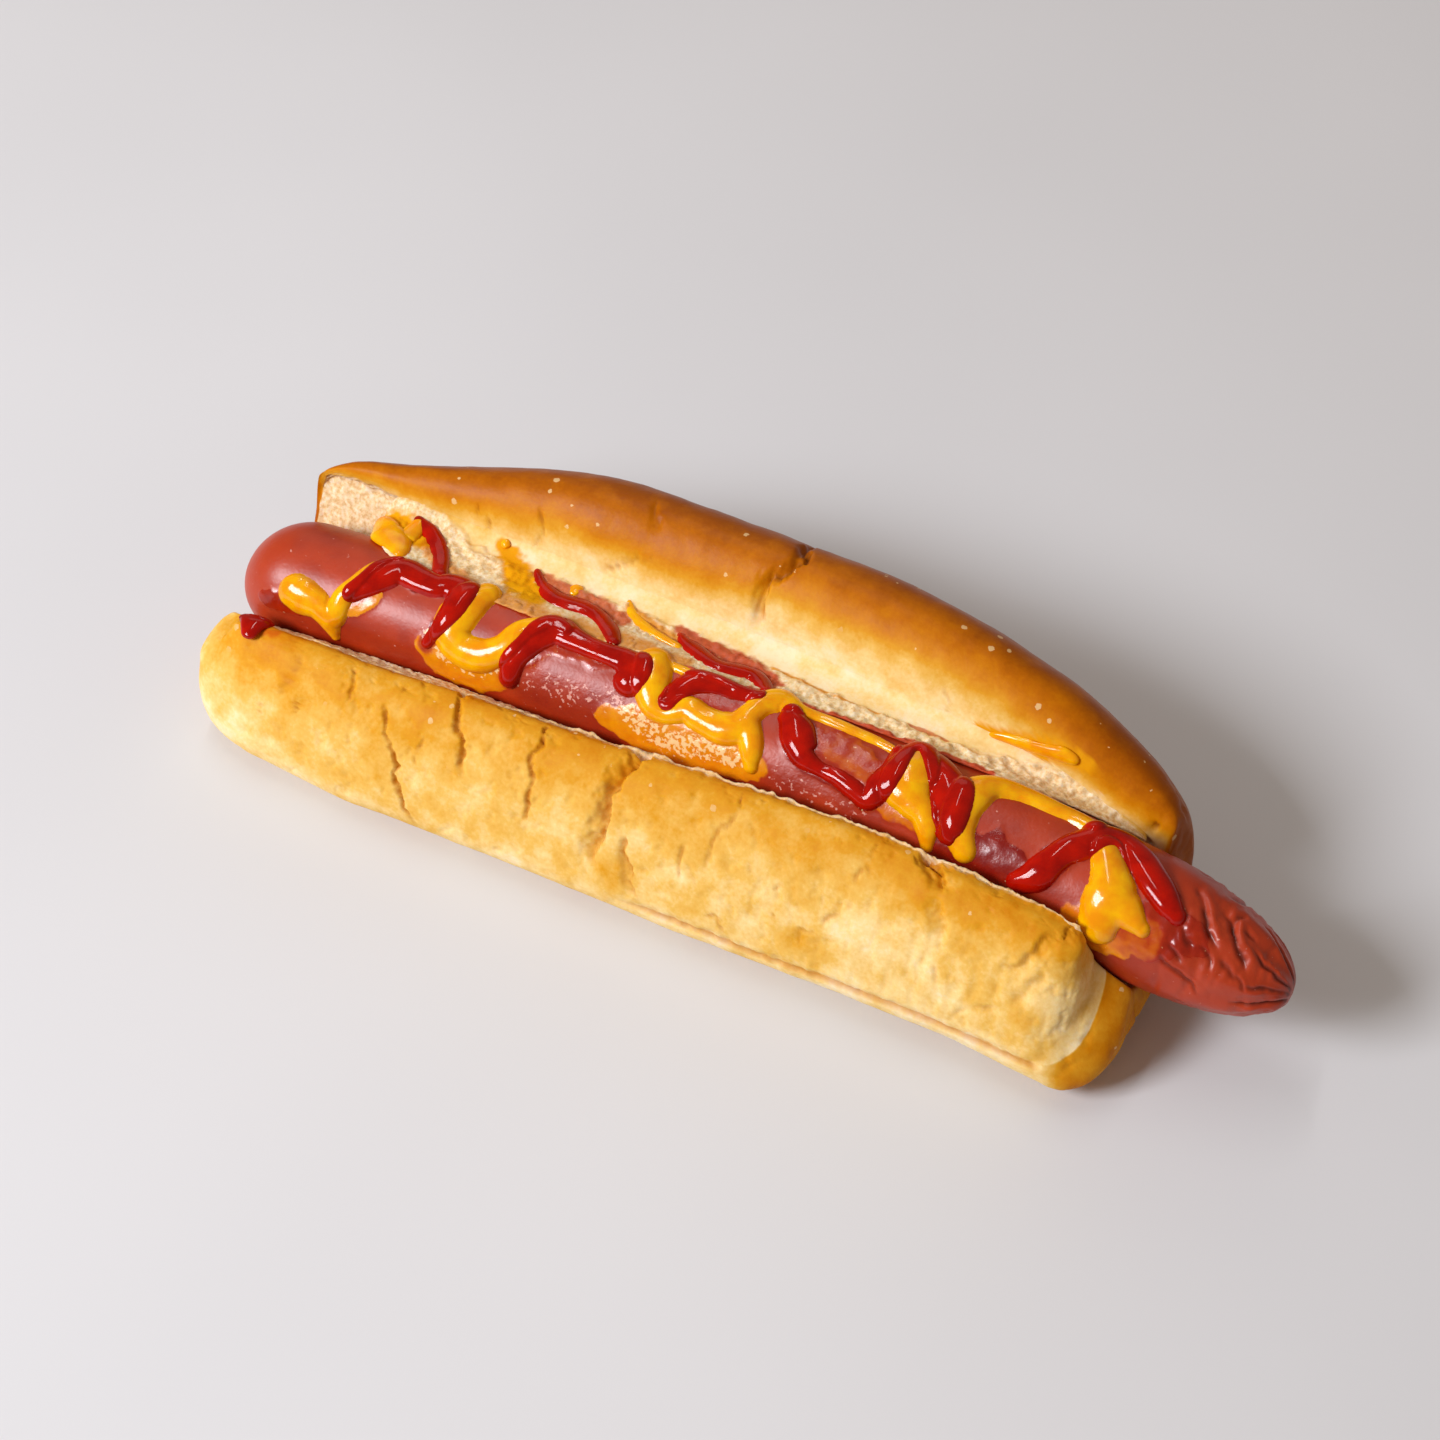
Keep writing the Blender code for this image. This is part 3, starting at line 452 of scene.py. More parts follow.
def sausage_radius(x, angle):
    """The sausage's radius at x: blunt at -X, tapered and pleated like a tied casing at +X."""
    left = x + SAUSAGE_LENGTH / 2
    right = SAUSAGE_LENGTH / 2 - x
    radius = SAUSAGE_RADIUS * round_cap(left, BLUNT_CAP) * round_cap(right, TAPERED_CAP) ** 0.9
    pleated = ease(TAPERED_CAP, 0.2 * TAPERED_CAP, right) * round_cap(right, 0.2 * TAPERED_CAP)
    return radius - PLEAT_DEPTH * pleated * (0.5 + 0.5 * np.cos(PLEATS * angle))


def on_sausage(x, angle, height=0.0):
    """Points at an angle from the sausage's top, front negative, and a height above its skin."""
    y, z = sausage_line(x)
    reach = sausage_radius(x, angle) + height
    return stacked(x, y + reach * np.sin(angle), z + reach * np.cos(angle))


def bun_ends(t):
    """The columns of BUN_ENDS at t, in metres and smoothly blended."""
    rows = np.array(BUN_ENDS)
    i = np.clip(np.searchsorted(rows[:, 0], t, side="left") - 1, 0, len(rows) - 2)
    share = ease(rows[i, 0], rows[i + 1, 0], t)
    return [mix(rows[i, k], rows[i + 1, k], share) * MM for k in range(1, 7)]


def cut_x(s, t):
    """Where station s lies on the cut surface."""
    left, right = bun_ends(t)[:2]
    return mix(left, right, mix(s, 0.5 - 0.5 * np.cos(math.pi * s), 0.75))


def crust_end(s, length, nose, cap):
    """Distance from the end's seam and thickness share, for s from 0 at the seam to 0.5 at mid-length."""
    turn, over = 0.05, 0.2
    first = math.pi / 2 * (1 - s / turn)
    second = math.pi / 2 * (s - turn) / (over - turn)
    third = mix(cap - nose, length / 2, (s - over) / (0.5 - over))
    cap_x = np.where(s < over, -nose + cap * (1 - np.cos(second)), third)
    x = np.where(s < turn, -nose * np.cos(first), cap_x)
    share = np.where(s < turn, NOSE_SHARE * (1 - np.sin(first)), mix(NOSE_SHARE, 1.0, np.sin(second)))
    return x, np.where(s < over, share, 1.0)


def crust_station(s, t):
    """Where station s lies on the crust, and how thick the bun is there as a share of its full thickness."""
    left, right, left_nose, right_nose, left_cap, right_cap = bun_ends(t)
    x0, share0 = crust_end(np.minimum(s, 0.5), right - left, left_nose, left_cap)
    x1, share1 = crust_end(np.minimum(1 - s, 0.5), right - left, right_nose, right_cap)
    x = np.where(s > 0.5, right - x1, left + x0)
    edge = np.minimum(ease(0.0, 0.08, t), ease(1.0, 0.92, t))
    return mix(cut_x(s, t), x, edge), np.where(s > 0.5, share1, share0)


def cut_edges(x):
    """(y, z) of the front and the back cut edge at x."""
    y, z = sausage_line(x)
    t = (x - EDGES_START) / (EDGES_STEP * (len(FRONT_EDGE) - 1))
    front = smooth_curve(FRONT_EDGE, t) * MM
    back = smooth_curve(BACK_EDGE, t) * MM
    return (y - front[..., 0], z + front[..., 1]), (y + back[..., 0], z + back[..., 1])


def inner_point(x, t):
    """The cut surface at t: down the front face, round the channel under the sausage, up the back face."""
    y, z = sausage_line(x)
    reach = SAUSAGE_RADIUS + CHANNEL_GAP
    front, back = cut_edges(x)
    start, end = CUT_FACE_SHARE, 1 - CUT_FACE_SHARE
    angle = math.pi * ((t - start) / (end - start) - 0.5)
    down, up = t / start, (t - end) / (1 - end)
    where = (t < start, t > end)
    face_ys = (mix(front[0], y - reach, down), mix(y + reach, back[0], up))
    face_zs = (mix(front[1], z, down), mix(z, back[1], up))
    ys = np.select(where, face_ys, y + reach * np.sin(angle))
    zs = np.select(where, face_zs, z - reach * np.cos(angle))
    return stacked(x, ys, zs)


def swell(x, t):
    """How thick each lobe is at x, as a share of its thickness at mid-length."""
    high = ease(0.6, 0.85, t)
    right_loss = mix(0.30, 0.46, high) * ease(10 * MM, 90 * MM, x)
    left_loss = mix(0.20, 0.48, high) * ease(-35 * MM, -95 * MM, x)
    front = 1 - 0.14 * ease(-10 * MM, 60 * MM, x) - 0.12 * ease(-60 * MM, -90 * MM, x)
    return mix(front, 1 - right_loss - left_loss, ease(0.3, 0.62, t))


def crust_point(x, t, share=1.0):
    """The plain crust at x and t."""
    here = inner_point(x, t)
    middle = inner_point(0.0 * x, t)
    outline = smooth_curve(OUTLINE, t) * MM
    out_y = outline[..., 0] - (middle[..., 1] - SAUSAGE_Y - SAUSAGE_BOW)
    out = stacked(0 * x, out_y, outline[..., 1] - middle[..., 2])
    point = here + out * (swell(x, t) * share)[..., None]
    point[..., 2] = np.maximum(point[..., 2], 0.0)
    return point


def back_face(x, t):
    """The back lobe's cut surface at t, which runs on over its crust past 1."""
    crust, cut = crust_point(x, np.minimum(2 - t, 1.0)), inner_point(x, np.minimum(t, 1.0))
    return np.where((t > 1)[..., None], crust, cut)


def overhang_face(x, v):
    """The torn crumb over the sausage's back, at v from 0 at its free edge to 1 on the back lobe's crust."""
    edge = np.radians(np.interp(x / MM, *zip(*OVERHANG_EDGE)))
    free = on_sausage(x, edge, OVERHANG_LIFT)
    right_end, right_cap = BUN_ENDS[-1][2] * MM, BUN_ENDS[-1][6] * MM
    share = mix(NOSE_SHARE, 1.0, round_cap(np.maximum(right_end - x, 0.0), right_cap))
    wall = crust_point(x, 0 * x + OVERHANG_TOP, share)
    down = crust_point(x, 0 * x + OVERHANG_TOP + 0.015, share) - wall
    bend = wall + down / np.linalg.norm(down, axis=-1, keepdims=True) * OVERHANG_BEND
    v = np.asarray(v)[..., None]
    return free * (1 - v) ** 2 + bend * 2 * v * (1 - v) + wall * v ** 2


def front_face(x, t):
    """The front lobe's cut surface at t, which runs on over its crust below 0."""
    crust, cut = crust_point(x, np.maximum(-t, 0.0)), inner_point(x, np.maximum(t, 0.0))
    return np.where((t < 0)[..., None], crust, cut)


# --- meshes ---

def lofted_grid(rows, columns):
    """A flat grid mesh, and the row and column of each of its vertices."""
    bm = bmesh.new()
    bmesh.ops.create_grid(bm, x_segments=rows, y_segments=columns, size=0.5)
    mesh = bpy.data.meshes.new("grid")
    bm.to_mesh(mesh)
    bm.free()
    co = np.empty(len(mesh.vertices) * 3, np.float32)
    mesh.vertices.foreach_get("co", co)
    co = co.reshape(-1, 3)
    return mesh, np.rint((co[:, 0] + 0.5) * rows).astype(int), np.rint((co[:, 1] + 0.5) * columns).astype(int)


def set_places(mesh, places):
    mesh.vertices.foreach_set("co", np.ascontiguousarray(places, np.float32).ravel())


def set_field(mesh, name, values):
    """Gives each vertex a number that the piece's material reads."""
    layer = mesh.attributes.new(name, "FLOAT", "POINT")
    layer.data.foreach_set("value", np.ascontiguousarray(values, np.float32).ravel())


def grid_normals(places):
    along, across = np.gradient(places, axis=0), np.gradient(places, axis=1)
    normal = np.cross(along, across)
    return normal / np.maximum(np.linalg.norm(normal, axis=-1, keepdims=True), 1e-12)


def near_path(points, path):
    """Each point's distance to a path, the path's share there, and which side: all arrays like the points."""
    path = np.asarray(path)
    lengths = np.linalg.norm(np.diff(path, axis=0), axis=1)
    total = lengths.sum()
    best = np.full(len(points), 1e9)
    share = np.zeros(len(points))
    towards = np.zeros((len(points), 3))
    walked = 0.0
    for a, b, length in zip(path, path[1:], lengths):
        along = np.clip(((points - a) @ (b - a)) / max(length, 1e-9) ** 2, 0.0, 1.0)
        offset = points - (a + along[:, None] * (b - a))
        distance = np.linalg.norm(offset, axis=1)
        closer = distance < best
        best = np.where(closer, distance, best)
        share = np.where(closer, (walked + along * length) / total, share)
        towards = np.where(closer[:, None], offset, towards)
        walked += length
    return best, share, towards


def finish_mesh(mesh, name, material, body="root"):
    """Closes the seams, makes the object, shades it smooth and puts it on its body."""
    bm = bmesh.new()
    bm.from_mesh(mesh)
    bmesh.ops.remove_doubles(bm, verts=bm.verts, dist=2e-6)
    bmesh.ops.dissolve_degenerate(bm, edges=bm.edges, dist=1e-6)
    bmesh.ops.recalc_face_normals(bm, faces=bm.faces)
    bm.to_mesh(mesh)
    bm.free()
    mesh.name = name
    mesh.materials.clear()
    mesh.materials.append(material)
    mesh.shade_smooth()
    piece = bpy.data.objects.new(name, mesh)
    bpy.context.scene.collection.objects.link(piece)
    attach(piece, body)
    return piece


# --- the bun ---

def stations():
    """Places along the bun, from 0 to 1: close together round the ends and even between them."""
    turn = np.linspace(0, 0.05, TURN_STATIONS, endpoint=False)
    cap = np.linspace(0.05, 0.2, CAP_STATIONS, endpoint=False)
    middle = np.linspace(0.2, 0.8, MIDDLE_STATIONS + 1)
    return np.concatenate((turn, cap, middle, 1 - cap[::-1], 1 - turn[::-1]))


def section_steps(start, end, count):
    """Values of t from start to end, even round the outline but closer together near the cut edges."""
    t = np.linspace(start, end, 600)
    outline = smooth_curve(OUTLINE, t)
    close = 1 + 1.6 * np.maximum(ease(0.09, 0.03, t), ease(0.93, 0.97, t))
    steps = np.linalg.norm(np.diff(outline, axis=0), axis=1) * close[1:]
    walked = np.concatenate(([0.0], np.cumsum(steps)))
    return np.interp(np.linspace(0, walked[-1], count + 1), walked, t)


def crust_relief(points):
    """How deep the creases lie below the plain crust at each point, in mm, and how much painted shade they
    get.
    """
    flat = points.reshape(-1, 3)
    depth = np.zeros(len(flat))
    painted_crease_shade = np.zeros(len(flat))
    wander = 0.25 * speckle(flat, 1.6, 2, 7.0)
    jagged = [0.75 * speckle(flat, 3.0, 4, shift) for shift in (31.0, 37.0, 43.0)]
    torn = flat + np.column_stack(jagged) * MM
    patchy = np.clip(0.95 + 0.9 * speckle(flat, 4.0, 2, 17.0), 0.4, 1.2)
    for places, deep, left, right, darkness in CREASES:
        xs = np.array([p[0] for p in places]) * MM
        path = crust_point(xs, np.array([p[1] for p in places]))
        reach = max(left, right) * 1.6 * MM
        close = np.all((flat > path.min(0) - reach) & (flat < path.max(0) + reach), axis=1)
        if not close.any():
            continue
        distance, share, towards = near_path(torn[close], path)
        side = np.where(towards[:, 0] < 0, left, right)
        run = ease(1.04, 0.75, share)
        # A crease that starts at the lip is open there, and any other fades out at both ends.
        if places[0][1] >= 0.06:
            run = ease(-0.05, 0.12, share) * run
        away = np.clip(distance / MM / side + wander[close], 0.0, 1.0)
        bowl = CREASE_SCALE * deep * run * (1 - away) ** 2 * (1 + away)
        depth[close] = np.maximum(depth[close], bowl)
        # A thin line of painted shade along each crease, and fainter painted shade over its bowl.
        line = np.clip(1.2 - distance / MM / mix(0.4, 0.62, min(deep, 1.0)), 0.0, 1.0)
        shade = np.maximum(0.85 * line, 0.3 * (1 - away) ** 2 * min(deep, 1.0))
        painted_crease_shade[close] = np.maximum(painted_crease_shade[close], darkness * run * shade * patchy[close])
    seam = crust_point(np.array([p[0] for p in SEAM]) * MM, np.array([p[1] for p in SEAM]))
    distance, share, towards = near_path(flat, seam)
    run = ease(0.0, 0.12, share) * ease(1.0, 0.97, share)
    away = np.clip(distance / MM / np.where(towards[:, 2] > 0, 2.4, 0.7) + wander, 0.0, 1.0)
    depth = np.maximum(depth, SEAM_DEPTH * run * (1 - away) ** 2 * (1 + away))
    # Painted shade along the seam.
    painted_crease_shade = np.maximum(painted_crease_shade, 0.75 * run * np.clip(1 - distance / MM / 0.7, 0.0, 1.0))
    return depth.reshape(points.shape[:-1]), painted_crease_shade.reshape(points.shape[:-1])


def crumb_share(x, t):
    """1 where the section shows torn white crumb, 0 where it is crust."""
    ragged = 0.5 * speckle(stacked(x, 0 * x, t * 0.12), 1.7, 3, 3.0)
    front_rim = np.interp(x / MM, (-90, -80, -60, -20, 0, 10, 35, 45, 52, 60, 66),
                          (0.0, 0.008, 0.018, 0.024, 0.02, 0.014, 0.01, 0.014, 0.01, 0.004, 0.0))
    back_rim = np.interp(x / MM, (-92, -80, -62, -50, -20, 5, 35, 42, 48, 56, 64, 72),
                         (0.05, 0.03, 0.014, 0.008, 0.01, 0.01, 0.018, 0.04, 0.052, 0.048, 0.03, 0.0))
    front = 0.75 * ease(0.006, -0.006, t - front_rim * (1 + 1.1 * ragged))
    back = ease(-0.006, 0.006, t - (1 - back_rim * (1 + 0.8 * ragged)))
    return np.maximum(front, back)


def bake_level(points, x, t):
    """How brown the crust is, from 0 for cream to 1 for the deep brown of the bun's top."""
    xm = x / MM
    golden = np.interp(xm, *zip(*GOLDEN_BAND))
    cream = np.interp(xm, *zip(*CREAM_BAND))
    back = np.interp((t - golden) / (cream - golden), (-2.5, -0.8, 0.0, 0.6, 1.1, 1.8, 3.0),
                     (1.0, 0.82, 0.60, 0.32, 0.14, 0.07, 0.04))
    hinge = mix(0.26, 0.97, ease(0.30, 0.56, t))
    front = np.interp(t, (0.0, 0.06, 0.12, 0.17, 0.22, 0.25, 0.30),
                      (0.5, 0.44, 0.36, 0.25, 0.26, 0.14, 0.2))
    front = front + 0.07 * ease(-72, -90, xm) * ease(0.2, 0.12, t)
    front = front + 0.12 * ease(9, 2, np.hypot(xm - 22, (t - 0.225) * 120))
    front = front + 0.05 * ease(-10, -40, xm) * ease(0.2, 0.1, t)
    front = front - 0.06 * ease(-8, 12, xm) * ease(0.08, 0.15, t)
    level = np.where(t < 0.30, front, np.where(t < 0.6, np.minimum(hinge, back), back))
    level = np.where((t > 0.24) & (t < 0.5), np.maximum(level, 0.55 * ease(64, 70, xm)), level)
    level = level + mix(0.13, 0.06, ease(0.4, 0.6, t)) * speckle(points, 13, 4, 11.0)
    return np.clip(level + 0.07 * speckle(points, 3.5, 3, 12.0), 0.0, 1.0)


def lobe(name, steps, front, material):
    """One lobe of the bun as a closed body: its crust, the wall under the hinge and its cut surface."""
    s = stations()
    cut_steps = steps[::CUT_EVERY]
    rows, columns = len(s) - 1, len(steps) - 1
    t = np.broadcast_to(steps, (rows + 1, columns + 1)).copy()
    snapped = steps[np.clip(np.rint(np.arange(columns + 1) / CUT_EVERY).astype(int) * CUT_EVERY, 0, columns)]
    t[0] = snapped
    t[-1] = snapped
    s_grid = np.broadcast_to(s[:, None], t.shape)
    x, share = crust_station(s_grid, t)
    crust = crust_point(x, t, share)
    normals = grid_normals(crust)
    if (normals[rows // 2, columns // 2, 1] < 0) != front:
        normals = -normals
    depth, painted_crease_shade = crust_relief(crust)
    crumb = crumb_share(x, t)
    bake = bake_level(crust, x, t)
    soft = 0.5 + 0.5 * speckle(crust, 9.0, 3, 1.0)
    wrinkle = np.maximum(speckle(crust * (3.2, 1, 1), 6.0, 3, 5.0), 0.0)
    wrinkle = wrinkle * ease(2, 20, x / MM) * ease(0.10, 0.15, t) * ease(0.26, 0.22, t)
    puckers = np.maximum(speckle(crust * (1, 2.6, 0.6), 5.0, 3, 15.0), 0.0)
    puckers = puckers * ease(64, 68, x / MM) * ease(0.26, 0.32, t)
    pitted = np.maximum(speckle(crust, 2.4, 3, 25.0) - 0.25, 0.0) * ease(0.30, 0.24, t)
    grains = 0.5 + 0.5 * speckle(crust, 0.9, 3, 2.0)
    dents = SOFT_DENTS * soft + FRONT_WRINKLES * wrinkle + END_PUCKERS * puckers + CRUST_PITS * pitted
    depth = depth + dents * (1 - crumb) + TORN_GRAIN * grains * crumb
    edge = np.minimum(ease(0.0, 0.008, t), ease(1.0, 0.992, t))
    ends = np.minimum(ease(0.0, 0.03, s_grid), ease(1.0, 0.97, s_grid))
    meet = ease(0.0, 0.02, np.abs(t - LOBES_MEET))
    crust = crust - normals * (depth * edge * ends * meet * MM)[..., None]
    crust = crust + torn_lip(x, t, s_grid)
    crust[..., 2] = np.clip(crust[..., 2], 0.0, CAD_BOX[1][2])

    cut_t = np.broadcast_to(cut_steps, (rows + 1, len(cut_steps)))
    cut_s = np.broadcast_to(s[:, None], cut_t.shape)
    cx = cut_x(cut_s, cut_t)
    cut = inner_point(cx, cut_t)
    cut_normals = grid_normals(cut)
    if (cut_normals[rows // 2, 2 if front else -3, 1] > 0) != front:
        cut_normals = -cut_normals
    pit = 0.5 + 0.5 * speckle(cut, 1.1, 3, 4.0)
    fade = np.minimum(ease(0.0, 0.02, cut_t), ease(1.0, 0.98, cut_t))
    fade = fade * ease(0.0, 0.02, np.abs(cut_t - LOBES_MEET))
    fade = fade * np.minimum(ease(0.0, 0.02, cut_s), ease(1.0, 0.98, cut_s))
    cut = cut - cut_normals * (CUT_FACE_PITS * pit * fade * MM)[..., None] + torn_lip(cx, cut_t, cut_s)

    seam_crust, seam_cut = (crust[:, -1:], cut[:, -1:]) if front else (crust[:, :1], cut[:, :1])
    steps_in = np.linspace(0, 1, WALL_STEPS + 1)[1:-1]
    wall = mix(seam_crust, seam_cut, steps_in[None, :, None])
    one = np.ones(wall.shape[:2])
    # The front lobe's cut face is mixed with golden crust colour towards its lip: painted shade.
    if front:
        places = np.concatenate((crust, wall, cut[:, ::-1]), axis=1)
        fields = {
            "crumb": np.concatenate((crumb, one, 1 - 0.3 * ease(0.1, 0.0, cut_t[:, ::-1])), axis=1),
            "bake": np.concatenate((bake, 0 * one, np.full(cx.shape, 0.4)), axis=1),
            "crease_shade": np.concatenate((painted_crease_shade, 0 * one, np.zeros(cx.shape)), axis=1),
        }
    else:
        places = np.concatenate((cut[:, :1], wall[:, ::-1], crust, cut[:, ::-1]), axis=1)
        fields = {
            "crumb": np.concatenate((one[:, :1], one, crumb, np.ones(cx.shape)), axis=1),
            "bake": np.concatenate((0 * one[:, :1], 0 * one, bake, np.zeros(cx.shape)), axis=1),
            "crease_shade": np.concatenate((0 * one[:, :1], 0 * one, painted_crease_shade, np.zeros(cx.shape)), axis=1),
        }
    mesh, i, j = lofted_grid(places.shape[0] - 1, places.shape[1] - 1)
    set_places(mesh, places[i, j])
    for field, values in fields.items():
        set_field(mesh, field, values[i, j])
    sauce_tints(mesh, places[i, j], [(back_face, *row) for row in BACK_SOAKED] + [(front_face, 0.6, LIP_SMEAR)])
    piece = finish_mesh(mesh, name, material)
    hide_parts("bun")


def torn_crumb(material):
    """The crumb that hangs over the sausage's back: one closed body, rooted in the back lobe."""
    xs = np.arange(OVERHANG_EDGE[0][0], OVERHANG_EDGE[-1][0] + 0.1, OVERHANG_STEP / MM) * MM
    x, v = np.meshgrid(xs, np.linspace(0, 1, OVERHANG_TOP_STEPS), indexing="ij")
    top = overhang_face(x, v)
    torn = np.interp(x / MM, *zip(*OVERHANG_TORN)) + 0.1 * speckle(top, 2.5, 3, 55.0)
    crumb = ease(0.05, -0.05, v - torn)
    # A rough torn face, a raised rim where the crust begins, and an edge that sinks into the lobe's crust.
    rim = 0.5 * ease(0.12, 0.0, np.abs(v - torn + 0.03)) * ease(0.9, 0.7, torn)
    rough = 0.45 * speckle(top, 1.3, 3, 51.0) * crumb + rim
    soft = 0.5 + 0.5 * speckle(top, 9.0, 3, 1.0)
    sunk = (SOFT_DENTS * soft - 0.08) * ease(0.2, 0.6, v)
    sunk = sunk + 0.3 * ease(0.8, 0.95, v) + 1.0 * ease(0.92, 1.0, v)
    away = grid_normals(top)
    away = away * np.sign(away[len(xs) // 2, 20, 2])
    top = top + away * ((np.maximum(rough, -0.3) - sunk) * MM)[..., None]
    ragged = 0.45 * MM * speckle(stacked(x, 0 * x, 0 * x), 2.2, 4, 61.0)
    top[:, :4] += stacked(0 * x, ragged, 0 * x)[:, :4] * np.linspace(1, 0.25, 4)[None, :, None]

    rooted = math.radians(OVERHANG_ROOT)
    root = mix(on_sausage(x, 0 * x + rooted), overhang_face(x, 0 * v + 1), 0.5)[:, :1]
    edge = np.radians(np.interp(xs / MM, *zip(*OVERHANG_EDGE)))[:, None]
    angle = mix(edge, rooted, np.linspace(1, 0, OVERHANG_UNDER_STEPS)[None, :])
    under = on_sausage(x[:, :OVERHANG_UNDER_STEPS], angle, OVERHANG_GAP)
    full = round_cap(np.minimum(xs - xs[0], xs[-1] - xs), OVERHANG_END)[:, None, None]
    ring = mix(root, np.concatenate((top, root, under), axis=1), full)
    torn_all_over = np.ones((len(xs), 1 + OVERHANG_UNDER_STEPS))
    crumb = np.concatenate((crumb, torn_all_over), axis=1)
    ring = np.concatenate((ring, ring[:, :1]), axis=1)
    crumb = np.concatenate((crumb, crumb[:, :1]), axis=1)

    mesh, i, j = lofted_grid(ring.shape[0] - 1, ring.shape[1] - 1)
    set_places(mesh, ring[i, j])
    set_field(mesh, "crumb", crumb[i, j])
    level = np.zeros(crumb.shape)
    reach = np.clip(np.arange(ring.shape[1]) / (OVERHANG_TOP_STEPS - 1), 0.0, 1.0)
    bake = bake_level(ring, xs[:, None] + level, mix(0.97, OVERHANG_TOP, reach)[None, :] + level)
    set_field(mesh, "bake", bake[i, j])
    set_field(mesh, "crease_shade", level[i, j])
    sauce_tints(mesh, ring[i, j], [(overhang_face, *row) for row in CRUMB_STAINS_AND_SHADE])
    piece = finish_mesh(mesh, "torn_crumb", material)
    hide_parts("bun")


def torn_lip(x, t, s):
    """How the soft crumb moves the two cut edges, and ever less the crust and the cut surface beside them."""
    near = np.maximum(ease(0.035, 0.0, t), ease(0.965, 1.0, t))
    near = near * np.minimum(ease(0.0, 0.03, s), ease(1.0, 0.97, s))
    where = stacked(x, 0.02 * (t > 0.5), 0 * x)
    moved = stacked(0 * x, 0.7 * speckle(where, 4.2, 5, 1.5), 0.8 * speckle(where, 3.4, 5, 6.5))
    return moved * near[..., None] * MM


def sauce_tints(mesh, points, stains_and_shade):
    """Sauce colour at each vertex of the bread: sauce taken up by the crumb, and for some rows painted shade.
    Rows: (surface, how red, places).
    """
    amounts = {"mustard": np.zeros(len(points)), "ketchup": np.zeros(len(points))}
    ragged = 0.45 * speckle(points, 1.6, 3, 9.0)
    for surface, red, places in stains_and_shade:
        xs, ts, widths = np.array(places).T
        distance, share, _ = near_path(points, surface(xs * MM, ts))
        width = np.interp(share * (len(widths) - 1), range(len(widths)), widths)
        near = ease(1.3, 0.7, distance / MM / width + ragged)
        amounts["mustard"] = np.maximum(amounts["mustard"], near * (1 - red))
        amounts["ketchup"] = np.maximum(amounts["ketchup"], near * red)
    for field, amount in amounts.items():
        set_field(mesh, field, amount)


# --- the sausage and its drizzle ---

def vertex_places(mesh):
    co = np.empty(len(mesh.vertices) * 3, np.float32)
    mesh.vertices.foreach_get("co", co)
    return co.reshape(-1, 3)


def sauce_on_skin(x, angle):
    """How thick the thin sauce is at each place on the skin, from 0 to 1, and how red it is."""
    points = np.column_stack((x / MM, angle * SAUSAGE_RADIUS / MM, 0 * x))
    ragged = 0.4 * speckle(points * MM, 3.2, 3, 21.0)
    amount = np.zeros(len(points))
    red = np.zeros(len(points))
    weight = np.full(len(points), 1e-6)
    margins = [(0.9, tuple((a, b, 0.75 * w + 0.9) for a, b, w in strand)) for strand in KETCHUP]
    for redness, sheet in SHEETS + tuple(margins):
        places = [(a, SAUSAGE_RADIUS / MM * math.radians(b), 0.0, width) for a, b, width in sheet]
        line = smooth_curve(places, np.linspace(0, 1, 4 * len(sheet)))
        distance, share, _ = near_path(points, line[:, :3])
        away = distance / np.interp(share * (len(line) - 1), range(len(line)), line[:, 3])
        here = ease(1.25, 0.75, away + ragged)
        amount = np.maximum(amount, here)
        red += redness * here
        weight += here
    return amount, red / weight


def painted_glint_amount(x, angle):
    """How much painted highlight each place on the skin gets, from 0 to 1."""
    points = np.column_stack((x / MM, angle * SAUSAGE_RADIUS / MM, 0 * x))
    ragged = 0.5 * speckle(points * MM, 3.0, 3, 71.0)
    amount = np.zeros(len(points))
    for most, patch in PAINTED_GLINT_PATCHES:
        places = [(a, SAUSAGE_RADIUS / MM * math.radians(b), 0.0, width) for a, b, width in patch]
        line = smooth_curve(places, np.linspace(0, 1, 12))
        distance, share, _ = near_path(points, line[:, :3])
        away = distance / np.interp(share * (len(line) - 1), range(len(line)), line[:, 3])
        amount = np.maximum(amount, most * ease(1.3, 0.3, away + ragged))
    return amount


